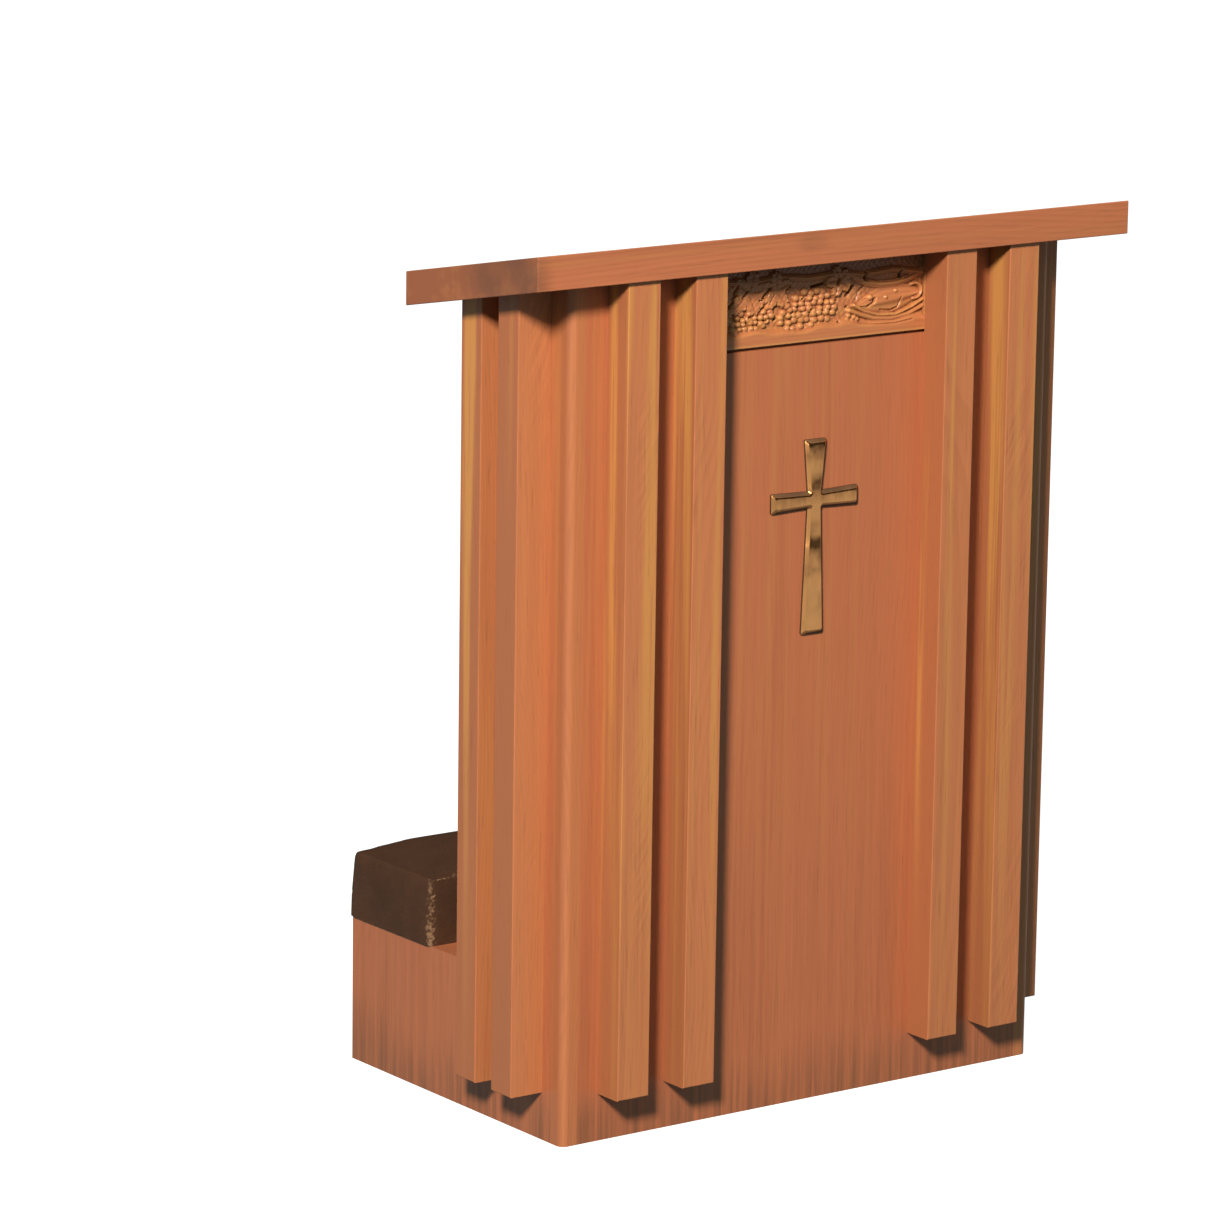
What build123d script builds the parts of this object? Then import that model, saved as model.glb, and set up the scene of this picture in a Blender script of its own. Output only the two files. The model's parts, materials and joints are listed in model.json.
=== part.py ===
from build123d import *
import os
from dataclasses import dataclass
from math import cos, radians, sin, sqrt, tan, tau

# Kneeling desk: a shallow upright cabinet with square battens, a sloped book board on top, a carved frieze
# and a brass cross on the front, and a low kneeler box with a pad behind it.
# Millimetres. +Z is up, the front with the cross faces -Y, and the kneeler is at +Y.
# The origin is on the floor, at the centre of the bounding box.

# ---------------------------------------------------------------- driving dimensions

body_width = 610.0
body_depth = 381.0            # face of the front panel to the back of the kneeler
cabinet_depth = 163.0         # face of the front panel to the open back of the cabinet
overall_height = 918.0        # floor to the front top edge of the book board
panel_thickness = 19.0
corner_radius = 8.0           # outer corner of the corner posts
arris = 1.2                   # small rounding on handled edges

board_slope = 11.0            # degrees, down towards the kneeler
board_thickness = 34.0
board_overhang_front = 41.0
board_overhang_side = 70.0
board_overhang_back = 23.0

batten_wide = 39.0            # the face that shows from the front, on front and side battens alike
batten_narrow = 35.0
batten_floor_gap = 50.0
front_batten_inset = 44.0     # body corner to the outer batten
front_batten_gap = 43.5       # between the two battens of a pair
side_batten_inset = 34.0      # front face to the first side batten
side_batten_gap = 28.5

frieze_height = 81.0
frieze_lap = 14.0             # how far the frieze runs behind each middle batten
frieze_margin = 12.0          # plain band below the carving
frieze_ground_depth = 6.0     # how far the carved ground is cut back
shadow_groove_height = 3.5
shadow_groove_depth = 6.0
grape_radius = 4.0
grape_pitch = 8.6
large_cluster_rows = [5, 6, 7, 6, 5]
large_cluster_place = -0.12   # of the half length that shows, from the middle
small_cluster_rows = [2, 3, 2]
small_cluster_place = -0.8
leaf_places = [0.35, 0.75]
leaf_lobes = 5
leaf_lobe_length = 8.0
leaf_lobe_width = 4.5
leaf_relief = 4.0
vine_width = 3.0
vine_relief = 3.0
vine_swing = 14.0
vine_wave_length = 80.0
vine_points = 24

kneeler_height = 156.0
pad_depth = 145.0
pad_thickness = 68.0
pad_edge_radius = 5.0
pad_base_thickness = 12.0
pad_base_inset = 3.0

cleat_size = 25.0
shelf_opening = 220.0         # clear height above the book shelf, at the back of the cabinet
shelf_setback = 12.0          # from the open back of the cabinet
shelf_cleat_size = 19.0
corner_block_size = 30.0
corner_block_floor_gap = 8.0

tongue_thickness = 5.0
tongue_length = 5.0
joint_clearance = 0.1         # around a tongue, and beside the frieze
fitting_clearance = 0.5       # at each end of a board dropped in between two panels

cross_height = 202.0
cross_span = 111.0
cross_thickness = 6.0
cross_bevel = 2.0
cross_below_groove = 97.0     # shadow groove to the top of the cross
cross_bar_drop = 62.5         # top of the cross to the middle of the bar
cross_waist = 18.0            # width of the upright where it meets the bar
cross_end_width = 28.5
bar_waist = 18.0
bar_end_height = 21.0

screw_radius = 2.0
screw_head_radius = 4.0
screw_head_height = 2.5
screw_hole_clearance = 0.3    # around the shank, in the piece under the head
counterbore_clearance = 0.5   # around the head, and over it
batten_bite = 22.0            # thread length in a batten
panel_bite = 12.0             # thread length in a panel
board_bite = 18.0             # thread length in the book board
pad_bite = 8.0                # thread length in the pad's base
pilot_spare = 1.0             # pilot hole past the end of the screw

stud_radius = 2.5
stud_hole_clearance = 0.5
cross_wall_over_stud = 2.0    # brass left in front of a stud's end
stud_tail = 8.0               # past the back of the front panel
washer_rim = 3.0              # from its hole to its edge
washer_thickness = 1.2
nut_wall = 1.5                # from the stud to a flat
nut_thickness = 4.0
thread_clearance = 0.05       # between a thread and its hole, as plain cylinders

# ---------------------------------------------------------------- places worked out from them

half_width = body_width / 2
inner_half_width = half_width - panel_thickness
front_face = board_overhang_front - (board_overhang_front + body_depth) / 2
inner_front = front_face + panel_thickness
cabinet_back = front_face + cabinet_depth
back_face = front_face + body_depth
inner_back = back_face - panel_thickness

slope = radians(board_slope)
board_front = front_face - board_overhang_front
board_back = cabinet_back + board_overhang_back
board_plumb_thickness = board_thickness / cos(slope)


def underside(y: float) -> float:
    """Height of the book board's underside at depth y."""
    return overall_height - board_plumb_thickness - (y - board_front) * tan(slope)


board_seat = Plane(
    origin=(0, board_front, underside(board_front)),
    x_dir=(1, 0, 0),
    z_dir=(0, sin(slope), cos(slope)),
)
front_plane = Plane.XZ.offset(-front_face)      # local x is X, local y is Z, and it faces the front

front_batten_places = [
    side * (half_width - front_batten_inset - batten_wide / 2 - step * (batten_wide + front_batten_gap))
    for side, step in ((-1, 0), (-1, 1), (1, 1), (1, 0))
]
side_batten_places = [
    front_face + side_batten_inset + batten_narrow / 2 + step * (batten_narrow + side_batten_gap)
    for step in (0, 1)
]

frieze_bottom = underside(front_face) - frieze_height
frieze_visible_half = front_batten_places[2] - batten_wide / 2
frieze_half_length = frieze_visible_half + frieze_lap
carving_bottom = frieze_bottom + shadow_groove_height + frieze_margin
carving_middle = (carving_bottom + underside(front_face)) / 2
vine_half_length = frieze_visible_half - vine_width

shelf_top = underside(cabinet_back) - shelf_opening
shelf_bottom = shelf_top - panel_thickness
shelf_back = cabinet_back - shelf_setback
kneeler_top_bottom = kneeler_height - panel_thickness
kneeler_cleat_bottom = kneeler_top_bottom - cleat_size
pad_front = back_face - pad_depth

desk_cleat_start = inner_front + cleat_size + fitting_clearance
desk_cleat_end = cabinet_back - fitting_clearance

screw_hole_radius = screw_radius + screw_hole_clearance
pilot_hole_radius = screw_radius + thread_clearance
counterbore_radius = screw_head_radius + counterbore_clearance
counterbore_depth = screw_head_height + counterbore_clearance
stud_hole_radius = stud_radius + stud_hole_clearance
stud_depth = cross_thickness - cross_wall_over_stud

cross_top = frieze_bottom - cross_below_groove
cross_bar_middle = cross_top - cross_bar_drop
cross_bottom = cross_top - cross_height
stud_heights = [cross_bar_middle, (cross_bar_middle + cross_bottom) / 2]

SIDES = {"left": -1, "right": 1}


def save(builder: BuildPart, name: str) -> None:
    """Label a finished piece and write it as parts/<name>.step."""
    os.makedirs("parts", exist_ok=True)
    builder.part.label = name
    export_step(builder.part, f"parts/{name}.step")


def spread(low: float, high: float, count: int) -> list:
    """Evenly spaced values, with half a step left at each end."""
    step = (high - low) / count
    return [low + (index + 0.5) * step for index in range(count)]


# ---------------------------------------------------------------- screws and the holes they need


@dataclass(frozen=True)
class ScrewRow:
    """Like screws that clamp one piece to another.

    mouths holds a plane for each screw, on the face where its head goes in, with z pointing out of the wood.
    clamped is the thickness of the piece under the head, and bite is the thread length in the piece behind.
    """

    mouths: list
    clamped: float
    bite: float

    def cut_clearance(self) -> None:
        """Cut counterbored holes through the clamped piece."""
        with Locations(*self.mouths):
            CounterBoreHole(screw_hole_radius, counterbore_radius, counterbore_depth, self.clamped)

    def cut_pilots(self) -> None:
        """Cut blind holes in the piece that the threads bite."""
        with Locations(*[mouth.offset(-self.clamped) for mouth in self.mouths]):
            Hole(pilot_hole_radius, self.bite + pilot_spare)

    def make(self) -> None:
        """Add the screws themselves."""
        for mouth in self.mouths:
            seat = mouth.offset(-counterbore_depth)
            with BuildSketch(seat) as shank:
                Circle(screw_radius)
            extrude(shank.sketch, amount=-(self.clamped - counterbore_depth + self.bite))
            with BuildSketch(seat) as head:
                Circle(screw_head_radius)
            extrude(head.sketch, amount=screw_head_height)


def facing(x: float, y: float, z: float, normal: tuple) -> Plane:
    """Plane at a point, with the given outward normal."""
    return Plane(origin=(x, y, z), z_dir=normal)


def board_screw_mouth(x: float, y: float) -> Plane:
    """Mouth of a screw that goes up through a desk cleat, square to the sloped board.

    The screw's middle in the cleat is at depth y.
    """
    along_slope = (y - board_front) / cos(slope) + cleat_size / 2 * tan(slope)
    origin = board_seat.offset(-cleat_size).from_local_coords((x, along_slope, 0))
    return Plane(origin=origin, z_dir=-board_seat.z_dir)


batten_screw_low = kneeler_height + 40.0
batten_screw_high = frieze_bottom - 25.0
batten_screw_heights = [batten_screw_low, (batten_screw_low + batten_screw_high) / 2, batten_screw_high]

front_batten_rows = [
    ScrewRow(
        [facing(x, inner_front, z, (0, 1, 0)) for z in batten_screw_heights], panel_thickness, batten_bite
    )
    for x in front_batten_places
]
side_batten_rows = {
    name: [
        ScrewRow(
            [facing(side * inner_half_width, y, z, (-side, 0, 0)) for z in batten_screw_heights],
            panel_thickness,
            batten_bite,
        )
        for y in side_batten_places
    ]
    for name, side in SIDES.items()
}

front_cleat_y = inner_front + cleat_size
front_cleat_z = underside(inner_front + cleat_size / 2) - cleat_size / 2
frieze_screw_x = frieze_half_length / 2
ear_screw_x = (frieze_half_length + inner_half_width) / 2
cleat_to_frieze = ScrewRow(
    [facing(side * frieze_screw_x, front_cleat_y, front_cleat_z, (0, 1, 0)) for side in SIDES.values()],
    cleat_size,
    panel_bite,
)
cleat_to_front = ScrewRow(
    [facing(side * ear_screw_x, front_cleat_y, front_cleat_z, (0, 1, 0)) for side in SIDES.values()],
    cleat_size,
    panel_bite,
)
cleat_to_side = {
    name: ScrewRow(
        [
            facing(
                side * (inner_half_width - cleat_size), y, underside(y) - cleat_size / 2, (-side, 0, 0)
            )
            for y in spread(desk_cleat_start, desk_cleat_end, 2)
        ],
        cleat_size,
        panel_bite,
    )
    for name, side in SIDES.items()
}
front_cleat_to_board = ScrewRow(
    [
        board_screw_mouth(x, inner_front + cleat_size / 2)
        for x in (-(frieze_screw_x + ear_screw_x) / 2, 0, (frieze_screw_x + ear_screw_x) / 2)
    ],
    cleat_size,
    board_bite,
)
desk_cleat_middle = (desk_cleat_start + desk_cleat_end) / 2
side_cleat_to_board = {
    name: ScrewRow(
        [board_screw_mouth(side * (inner_half_width - cleat_size / 2), desk_cleat_middle)],
        cleat_size,
        board_bite,
    )
    for name, side in SIDES.items()
}
shelf_cleat_middle = shelf_bottom - shelf_cleat_size / 2
shelf_cleat_rows = {
    name: ScrewRow(
        [
            facing(side * (inner_half_width - shelf_cleat_size), y, shelf_cleat_middle, (-side, 0, 0))
            for y in spread(inner_front, shelf_back, 2)
        ],
        shelf_cleat_size,
        panel_bite,
    )
    for name, side in SIDES.items()
}
kneeler_cleat_z = kneeler_top_bottom - cleat_size / 2
kneeler_cross_rows = {
    "front": ScrewRow(
        [
            facing(x, inner_front + cleat_size, kneeler_cleat_z, (0, 1, 0))
            for x in spread(-inner_half_width, inner_half_width, 4)
        ],
        cleat_size,
        panel_bite,
    ),
    "back": ScrewRow(
        [
            facing(x, inner_back - cleat_size, kneeler_cleat_z, (0, -1, 0))
            for x in spread(-inner_half_width, inner_half_width, 4)
        ],
        cleat_size,
        panel_bite,
    ),
}
kneeler_side_rows = {
    name: ScrewRow(
        [
            facing(side * (inner_half_width - cleat_size), y, kneeler_cleat_z, (-side, 0, 0))
            for y in spread(inner_front + cleat_size, inner_back - cleat_size, 3)
        ],
        cleat_size,
        panel_bite,
    )
    for name, side in SIDES.items()
}
pad_row = ScrewRow(
    [
        facing(x, (pad_front + back_face) / 2, kneeler_top_bottom, (0, 0, -1))
        for x in spread(-inner_half_width, inner_half_width, 4)
    ],
    panel_thickness,
    pad_bite,
)

# ---------------------------------------------------------------- cabinet


def make_corner_post(name: str, side: int) -> None:
    """Solid front corner, rounded outside, grooved for the front and side panels."""
    middle = panel_thickness / 2
    groove_width = tongue_thickness + 2 * joint_clearance
    groove_depth = tongue_length + fitting_clearance
    with BuildPart() as post:
        with BuildSketch():
            with Locations((side * (half_width - middle), front_face + middle)):
                Rectangle(panel_thickness, panel_thickness)
            outer_corner = vertices().sort_by(Axis.Y)[:2].sort_by(Axis.X)[-1 if side > 0 else 0]
            fillet(outer_corner, corner_radius)
            with Locations((side * (inner_half_width + groove_depth / 2), front_face + middle)):
                Rectangle(groove_depth, groove_width, mode=Mode.SUBTRACT)
            with Locations((side * (half_width - middle), inner_front - groove_depth / 2)):
                Rectangle(groove_width, groove_depth, mode=Mode.SUBTRACT)
        extrude(amount=overall_height)
        split(bisect_by=board_seat, keep=Keep.BOTTOM)
    save(post, f"corner_post_{name}")


def make_front_panel() -> None:
    """Front panel, tongued into the posts and notched at the top for the frieze."""
    with BuildPart() as front_panel:
        with BuildSketch():
            with Locations((0, front_face + panel_thickness / 2)):
                Rectangle(2 * inner_half_width, panel_thickness)
                Rectangle(2 * (inner_half_width + tongue_length), tongue_thickness)
        extrude(amount=overall_height)
        split(bisect_by=board_seat, keep=Keep.BOTTOM)
        with BuildSketch(front_plane):
            with Locations((0, frieze_bottom)):
                Rectangle(
                    2 * (frieze_half_length + joint_clearance),
                    overall_height,
                    align=(Align.CENTER, Align.MIN),
                )
        extrude(amount=-panel_thickness, mode=Mode.SUBTRACT)
        for row in front_batten_rows:
            row.cut_clearance()
        cleat_to_front.cut_pilots()
        kneeler_cross_rows["front"].cut_pilots()
        with Locations(*[facing(0, inner_front, z, (0, 1, 0)) for z in stud_heights]):
            Hole(stud_hole_radius, panel_thickness)
    save(front_panel, "front_panel")


def make_side_panel(name: str, side: int) -> None:
    """L-shaped side: tall at the cabinet, low along the kneeler, grooved for the kneeler's back."""
    middle = side * (half_width - panel_thickness / 2)
    groove_width = tongue_thickness + 2 * joint_clearance
    groove_depth = tongue_length + fitting_clearance
    with BuildPart() as side_panel:
        for end, height in ((cabinet_back, overall_height), (back_face, kneeler_height)):
            with BuildSketch():
                with Locations((middle, inner_front)):
                    Rectangle(panel_thickness, end - inner_front, align=(Align.CENTER, Align.MIN))
                with Locations((middle, inner_front - tongue_length)):
                    Rectangle(tongue_thickness, tongue_length, align=(Align.CENTER, Align.MIN))
            extrude(amount=height)
        split(bisect_by=board_seat, keep=Keep.BOTTOM)
        with BuildSketch():
            with Locations((side * (inner_half_width + groove_depth / 2), back_face - panel_thickness / 2)):
                Rectangle(groove_depth, groove_width)
        extrude(amount=kneeler_height, mode=Mode.SUBTRACT)
        for row in side_batten_rows[name]:
            row.cut_clearance()
        for row in (cleat_to_side[name], shelf_cleat_rows[name], kneeler_side_rows[name]):
            row.cut_pilots()
    save(side_panel, f"side_panel_{name}")


def make_batten(name: str, x: float, y: float, width: float, depth: float, row: ScrewRow) -> None:
    """Square batten, cut to the slope under the book board, with rounded outer edges."""
    with BuildPart() as batten:
        with BuildSketch(Plane.XY.offset(batten_floor_gap)):
            with Locations((x, y)):
                Rectangle(width, depth)
        extrude(amount=overall_height)
        split(bisect_by=board_seat, keep=Keep.BOTTOM)
        outward = -row.mouths[0].z_dir
        outer_face = batten.faces().sort_by(Axis((0, 0, 0), outward))[-1]
        end_face = batten.faces().sort_by(Axis.Z)[0]
        rounded = [edge for edge in outer_face.edges() if abs(edge.tangent_at(0).Z) > 0.5]
        rounded += [edge for edge in outer_face.edges() if edge in end_face.edges()]
        fillet(rounded, arris)
        row.cut_pilots()
    save(batten, name)


def make_battens() -> None:
    """Four battens on the front and two on each side."""
    for index, (x, row) in enumerate(zip(front_batten_places, front_batten_rows), start=1):
        make_batten(
            f"front_batten_{index}", x, front_face - batten_narrow / 2, batten_wide, batten_narrow, row
        )
    for name, side in SIDES.items():
        for place, y, row in zip(("front", "back"), side_batten_places, side_batten_rows[name]):
            x = side * (half_width + batten_wide / 2)
            make_batten(f"side_batten_{name}_{place}", x, y, batten_wide, batten_narrow, row)


def grape_cluster(x: float, rows: list) -> list:
    """Centres of grapes packed in staggered rows about the middle of the carving, top row first."""
    row_pitch = grape_pitch * sqrt(3) / 2
    return [
        (
            x + (index - (count - 1) / 2) * grape_pitch,
            carving_middle + ((len(rows) - 1) / 2 - level) * row_pitch,
        )
        for level, count in enumerate(rows)
        for index in range(count)
    ]


def make_carved_frieze() -> None:
    """Board set in the front panel's notch, carved with grapes, vine leaves and a stem."""
    ground = front_plane.offset(-frieze_ground_depth)
    with BuildPart() as frieze:
        with BuildSketch(front_plane):
            with Locations((0, frieze_bottom)):
                Rectangle(2 * frieze_half_length, overall_height, align=(Align.CENTER, Align.MIN))
        extrude(amount=-panel_thickness)
        with BuildSketch(front_plane):
            with Locations((0, frieze_bottom)):
                Rectangle(2 * frieze_half_length, shadow_groove_height, align=(Align.CENTER, Align.MIN))
        extrude(amount=-shadow_groove_depth, mode=Mode.SUBTRACT)
        with BuildSketch(front_plane):
            with Locations((0, carving_bottom)):
                Rectangle(2 * frieze_visible_half, overall_height, align=(Align.CENTER, Align.MIN))
        extrude(amount=-frieze_ground_depth, mode=Mode.SUBTRACT)
        with BuildSketch(ground):
            with BuildLine():
                Spline(
                    *[
                        (x, carving_middle + vine_swing * sin(tau * x / vine_wave_length))
                        for x in spread(-vine_half_length, vine_half_length, vine_points)
                    ]
                )
            trace(line_width=vine_width)
        extrude(amount=vine_relief)
        for place in leaf_places:
            with BuildSketch(ground):
                with Locations((place * frieze_visible_half, carving_middle)):
                    with PolarLocations(leaf_lobe_length, leaf_lobes, start_angle=90):
                        Ellipse(leaf_lobe_length, leaf_lobe_width)
            extrude(amount=leaf_relief)
        grapes = grape_cluster(large_cluster_place * frieze_visible_half, large_cluster_rows)
        grapes += grape_cluster(small_cluster_place * frieze_visible_half, small_cluster_rows)
        with Locations(*[ground.from_local_coords((x, z, 0)) for x, z in grapes]):
            Sphere(grape_radius)
        split(bisect_by=board_seat, keep=Keep.BOTTOM)
        cleat_to_frieze.cut_pilots()
    save(frieze, "carved_frieze")


# ---------------------------------------------------------------- book board and what holds it


def sloped_bar(low_y: float, high_y: float, low_x: float, high_x: float) -> None:
    """Add a bar under the book board, its top on the sloped underside and its bottom parallel to it."""
    drop = cleat_size / cos(slope)
    with BuildSketch(Plane.YZ.offset(low_x)) as section:
        with BuildLine():
            Polyline(
                (low_y, underside(low_y) - drop),
                (high_y, underside(high_y) - drop),
                (high_y, underside(high_y)),
                (low_y, underside(low_y)),
                close=True,
            )
        make_face()
    extrude(section.sketch, amount=high_x - low_x)


def make_desk_board() -> None:
    """Sloped book board with plumb edges."""
    half_length = half_width + board_overhang_side
    with BuildPart() as board:
        with BuildSketch(Plane.YZ.offset(-half_length)):
            with BuildLine():
                Polyline(
                    (board_front, underside(board_front)),
                    (board_back, underside(board_back)),
                    (board_back, underside(board_back) + board_plumb_thickness),
                    (board_front, overall_height),
                    close=True,
                )
            make_face()
        extrude(amount=2 * half_length)
        fillet(board.edges(), arris)
        for row in (front_cleat_to_board, *side_cleat_to_board.values()):
            row.cut_pilots()
    save(board, "desk_board")


def make_desk_cleats() -> None:
    """Cleats inside the top of the cabinet, screwed to the panels and up into the book board."""
    front_half = inner_half_width - fitting_clearance
    with BuildPart() as front_cleat:
        sloped_bar(inner_front, inner_front + cleat_size, -front_half, front_half)
        for row in (cleat_to_frieze, cleat_to_front, front_cleat_to_board):
            row.cut_clearance()
    save(front_cleat, "desk_cleat_front")
    for name, side in SIDES.items():
        edges_x = sorted((side * inner_half_width, side * (inner_half_width - cleat_size)))
        with BuildPart() as side_cleat:
            sloped_bar(desk_cleat_start, desk_cleat_end, *edges_x)
            for row in (cleat_to_side[name], side_cleat_to_board[name]):
                row.cut_clearance()
        save(side_cleat, f"desk_cleat_{name}")


# ---------------------------------------------------------------- shelf


def make_block(name: str, low: tuple, high: tuple, clearances: tuple = (), pilots: tuple = ()) -> None:
    """Square-edged board or bar between two corners, with the holes that its screws need."""
    with BuildPart() as block:
        with Locations(low):
            Box(*[top - bottom for bottom, top in zip(low, high)], align=(Align.MIN, Align.MIN, Align.MIN))
        for row in clearances:
            row.cut_clearance()
        for row in pilots:
            row.cut_pilots()
    save(block, name)


def make_shelf() -> None:
    """Book shelf, and the two cleats that it lies on."""
    half_length = inner_half_width - fitting_clearance
    make_block("book_shelf", (-half_length, inner_front, shelf_bottom), (half_length, shelf_back, shelf_top))
    for name, side in SIDES.items():
        low_x, high_x = sorted((side * inner_half_width, side * (inner_half_width - shelf_cleat_size)))
        make_block(
            f"shelf_cleat_{name}",
            (low_x, inner_front, shelf_bottom - shelf_cleat_size),
            (high_x, shelf_back, shelf_bottom),
            clearances=(shelf_cleat_rows[name],),
        )


# ---------------------------------------------------------------- kneeler


def make_kneeler_back() -> None:
    """Back of the kneeler box, tongued into the side panels."""
    with BuildPart() as kneeler_back:
        with BuildSketch():
            with Locations((0, back_face - panel_thickness / 2)):
                Rectangle(2 * inner_half_width, panel_thickness)
                Rectangle(2 * (inner_half_width + tongue_length), tongue_thickness)
        extrude(amount=kneeler_height)
        kneeler_cross_rows["back"].cut_pilots()
    save(kneeler_back, "kneeler_back_panel")


def make_kneeler_top() -> None:
    """Top of the kneeler box, which is also the cabinet's floor, and the cleats under it."""
    half_length = inner_half_width - fitting_clearance
    make_block(
        "kneeler_top",
        (-half_length, inner_front + fitting_clearance, kneeler_top_bottom),
        (half_length, inner_back - fitting_clearance, kneeler_height),
        clearances=(pad_row,),
    )
    for name, low_y in (("front", inner_front), ("back", inner_back - cleat_size)):
        make_block(
            f"kneeler_cleat_{name}",
            (-half_length, low_y, kneeler_cleat_bottom),
            (half_length, low_y + cleat_size, kneeler_top_bottom),
            clearances=(kneeler_cross_rows[name],),
        )
    for name, side in SIDES.items():
        low_x, high_x = sorted((side * inner_half_width, side * (inner_half_width - cleat_size)))
        make_block(
            f"kneeler_cleat_{name}",
            (low_x, inner_front + cleat_size + fitting_clearance, kneeler_cleat_bottom),
            (high_x, inner_back - cleat_size - fitting_clearance, kneeler_top_bottom),
            clearances=(kneeler_side_rows[name],),
        )


def make_corner_blocks() -> None:
    """Glue blocks in the four bottom corners, clear of the floor."""
    half = corner_block_size / 2
    height = kneeler_cleat_bottom - corner_block_floor_gap
    with BuildPart() as blocks:
        with BuildSketch(Plane.XY.offset(corner_block_floor_gap)):
            for x in (-inner_half_width + half, inner_half_width - half):
                with Locations((x, inner_front + half), (x, inner_back - half)):
                    Rectangle(corner_block_size, corner_block_size)
        extrude(amount=height)
    save(blocks, "corner_blocks")


def make_pad() -> None:
    """Foam pad in its cover, and the plywood base that the cover wraps."""
    middle_y = (pad_front + back_face) / 2
    base_length = body_width - 2 * pad_base_inset
    base_depth = pad_depth - 2 * pad_base_inset
    with BuildPart() as pad:
        with BuildSketch(Plane.XY.offset(kneeler_height)):
            with Locations((0, middle_y)):
                Rectangle(body_width, pad_depth)
        extrude(amount=pad_thickness)
        fillet(pad.edges().group_by(Axis.Z)[-1] + pad.edges().filter_by(Axis.Z), pad_edge_radius)
        with BuildSketch(Plane.XY.offset(kneeler_height)):
            with Locations((0, middle_y)):
                Rectangle(base_length, base_depth)
        extrude(amount=pad_base_thickness, mode=Mode.SUBTRACT)
    save(pad, "kneeler_pad")
    make_block(
        "pad_base",
        (-base_length / 2, middle_y - base_depth / 2, kneeler_height),
        (base_length / 2, middle_y + base_depth / 2, kneeler_height + pad_base_thickness),
        pilots=(pad_row,),
    )


# ---------------------------------------------------------------- cross and its fixings


def make_cross() -> None:
    """Brass cross with flared arms and bevelled edges."""
    waist, end = cross_waist / 2, cross_end_width / 2
    bar, bar_end, reach = bar_waist / 2, bar_end_height / 2, cross_span / 2
    right_side = [
        (end, cross_top),
        (waist, cross_bar_middle + bar),
        (reach, cross_bar_middle + bar_end),
        (reach, cross_bar_middle - bar_end),
        (waist, cross_bar_middle - bar),
        (end, cross_bottom),
    ]
    left_side = [(-x, z) for x, z in reversed(right_side)]
    with BuildPart() as cross:
        with BuildSketch(front_plane):
            with BuildLine():
                Polyline(*right_side, *left_side, close=True)
            make_face()
        extrude(amount=cross_thickness)
        chamfer(cross.faces().sort_by(Axis.Y)[0].edges(), length=cross_bevel)
        with Locations(*[facing(0, front_face, z, (0, 1, 0)) for z in stud_heights]):
            Hole(stud_radius + thread_clearance, stud_depth)
    save(cross, "brass_cross")


def make_cross_fixings() -> None:
    """Two threaded studs from the cross through the front panel, each with a washer and a nut."""
    behind = Plane.XZ.offset(-inner_front)
    with BuildPart() as studs:
        with BuildSketch(front_plane.offset(stud_depth)):
            with Locations(*[(0, z) for z in stud_heights]):
                Circle(stud_radius)
        extrude(amount=-(stud_depth + panel_thickness + stud_tail))
    save(studs, "cross_studs")
    with BuildPart() as washers:
        with BuildSketch(behind):
            with Locations(*[(0, z) for z in stud_heights]):
                Circle(stud_hole_radius + washer_rim)
                Circle(stud_hole_radius, mode=Mode.SUBTRACT)
        extrude(amount=-washer_thickness)
    save(washers, "cross_washers")
    with BuildPart() as nuts:
        with BuildSketch(behind.offset(-washer_thickness)):
            with Locations(*[(0, z) for z in stud_heights]):
                RegularPolygon(stud_radius + nut_wall, 6, major_radius=False)
                Circle(stud_radius + thread_clearance, mode=Mode.SUBTRACT)
        extrude(amount=-nut_thickness)
    save(nuts, "cross_nuts")


# ---------------------------------------------------------------- screws


def make_screws() -> None:
    """One node for each set of like screws."""
    groups = {
        "front_batten_screws": front_batten_rows,
        "side_batten_screws": side_batten_rows["left"] + side_batten_rows["right"],
        "desk_cleat_screws": [cleat_to_frieze, cleat_to_front, *cleat_to_side.values()],
        "desk_board_screws": [front_cleat_to_board, *side_cleat_to_board.values()],
        "shelf_cleat_screws": list(shelf_cleat_rows.values()),
        "kneeler_cleat_screws": [*kneeler_cross_rows.values(), *kneeler_side_rows.values()],
        "pad_screws": [pad_row],
    }
    for name, rows in groups.items():
        with BuildPart() as screws:
            for row in rows:
                row.make()
        save(screws, name)


for side_name, side_sign in SIDES.items():
    make_corner_post(side_name, side_sign)
    make_side_panel(side_name, side_sign)
make_front_panel()
make_battens()
make_carved_frieze()
make_desk_board()
make_desk_cleats()
make_shelf()
make_kneeler_back()
make_kneeler_top()
make_corner_blocks()
make_pad()
make_cross()
make_cross_fixings()
make_screws()
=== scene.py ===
"""Kneeling desk: the finished looks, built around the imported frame.

The cabinet, its battens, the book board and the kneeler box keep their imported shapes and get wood
finishes whose grain follows each board. The carved frieze, the brass cross and the kneeler pad are new
pieces that stand for the plain solids. Lengths are in metres, and in millimetres while the frieze and the
cross are drawn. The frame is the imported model's own: +Z up, the cross faces -Y.
"""

import json
import logging
import math
from dataclasses import dataclass, replace
from enum import Enum

import bmesh
import bpy
import numpy as np
from mathutils import Matrix, Vector


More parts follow.
